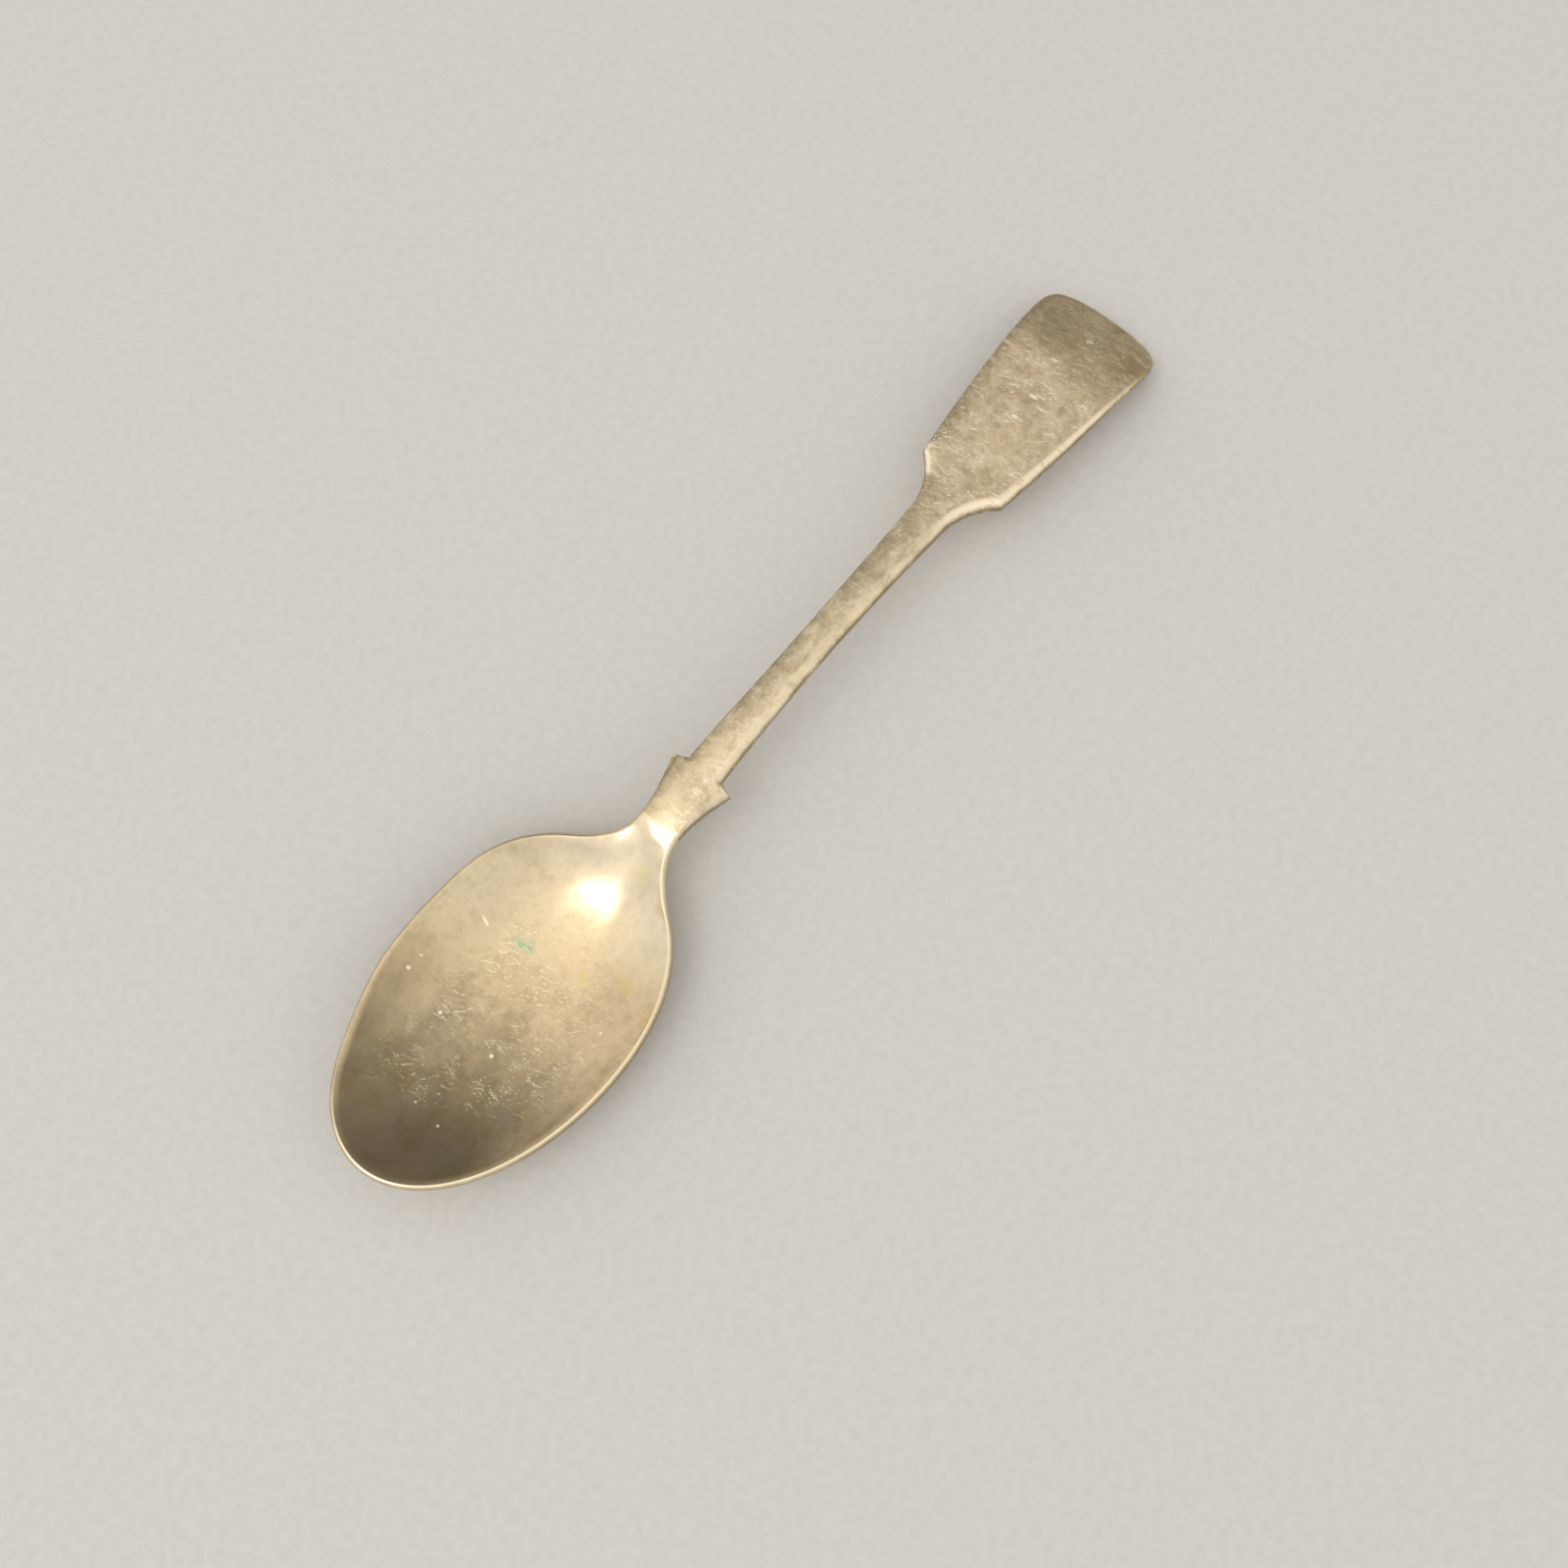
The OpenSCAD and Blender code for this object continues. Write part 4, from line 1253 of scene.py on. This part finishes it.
def make_soft_surround():
    """A studio that is light on the bowl's side and dims towards the handle's, with a
    glow round the key."""
    world = bpy.data.worlds.new("studio")
    world.use_nodes = True
    bpy.context.scene.world = world
    n = Nodes(world.node_tree)
    look = n.add("ShaderNodeTexCoord").outputs["Generated"]
    dark = n.vector("DOT_PRODUCT", look, tuple(direction(DARK_HEADING)))
    near_key = n.vector("DOT_PRODUCT", look, tuple(KEY_FROM))
    ramp = n.add("ShaderNodeValToRGB", {0: n.plus(n.times(dark, 0.5), 0.5)})
    ramp.color_ramp.interpolation = "B_SPLINE"
    stops = ramp.color_ramp.elements
    while len(stops) < len(SURROUND):
        stops.new(0.5)
    for stop, (position, brightness) in zip(stops, SURROUND):
        stop.position = position
        stop.color = (*(brightness * tint for tint in SURROUND_TINT), 1)
    glow = n.mix(n.ramp(near_key, *GLOW_SPAN), BLACK, GLOW_COLOUR)
    total = n.mix(1.0, ramp.outputs[0], glow, "ADD")
    n.put(world.node_tree.nodes["Background"].inputs["Color"], total)


def pale_floor_material():
    material = bpy.data.materials.new("pale_paper")
    material.use_nodes = True
    n = Nodes(material.node_tree)
    tone = n.noise(n.place(), *FLOOR_NOISE)
    relief = {"Strength": FLOOR_BUMP, "Distance": MM * FLOOR_DEPTH, "Height": tone}
    shader = material.node_tree.nodes["Principled BSDF"]
    n.put(shader.inputs["Base Color"], n.mix(n.ramp(tone, *FLOOR_SPAN), *FLOOR_COLOURS))
    n.put(shader.inputs["Normal"], n.add("ShaderNodeBump", relief).outputs[0])
    n.put(shader.inputs["Roughness"], FLOOR_ROUGHNESS)
    return material


def make_floor():
    data = bpy.data.meshes.new("floor")
    r = FLOOR_SIZE / 2
    data.from_pydata([(-r, -r, 0), (r, -r, 0), (r, r, 0), (-r, r, 0)], [], [(0, 1, 2, 3)])
    data.materials.append(pale_floor_material())
    floor = bpy.data.objects.new("floor", data)
    bpy.context.scene.collection.objects.link(floor)


# ---- the spoon -----------------------------------------------------------------------
def make_spoon():
    bowl_metal = metal_with_wear_and_painted_light("bowl_metal_worn_and_painted_light", bowl_marks)
    handle_metal = metal_with_wear_and_painted_light("handle_metal_worn_and_painted_light", handle_marks)
    zones = [
        ("bowl", make_bowl, bowl_metal, "bowl_metal"),
        ("heel_drop", make_heel_drop, bowl_metal, "bowl_metal"),
        ("neck", make_neck, handle_metal, "handle_metal"),
        ("stem", make_stem, handle_metal, "handle_metal"),
        ("shoulders", make_shoulders, handle_metal, "handle_metal"),
        ("fiddle", make_fiddle, handle_metal, "handle_metal"),
        ("turned_end", make_turned_end, handle_metal, "handle_metal"),
    ]
    for node, make, material, slot in zones:
        piece = make().build(node + "_form", material)
        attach(piece, "root")
        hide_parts(node)


make_camera()
make_key_light()
make_soft_surround()
make_floor()
make_spoon()
bpy.context.scene.view_settings.view_transform = "Standard"
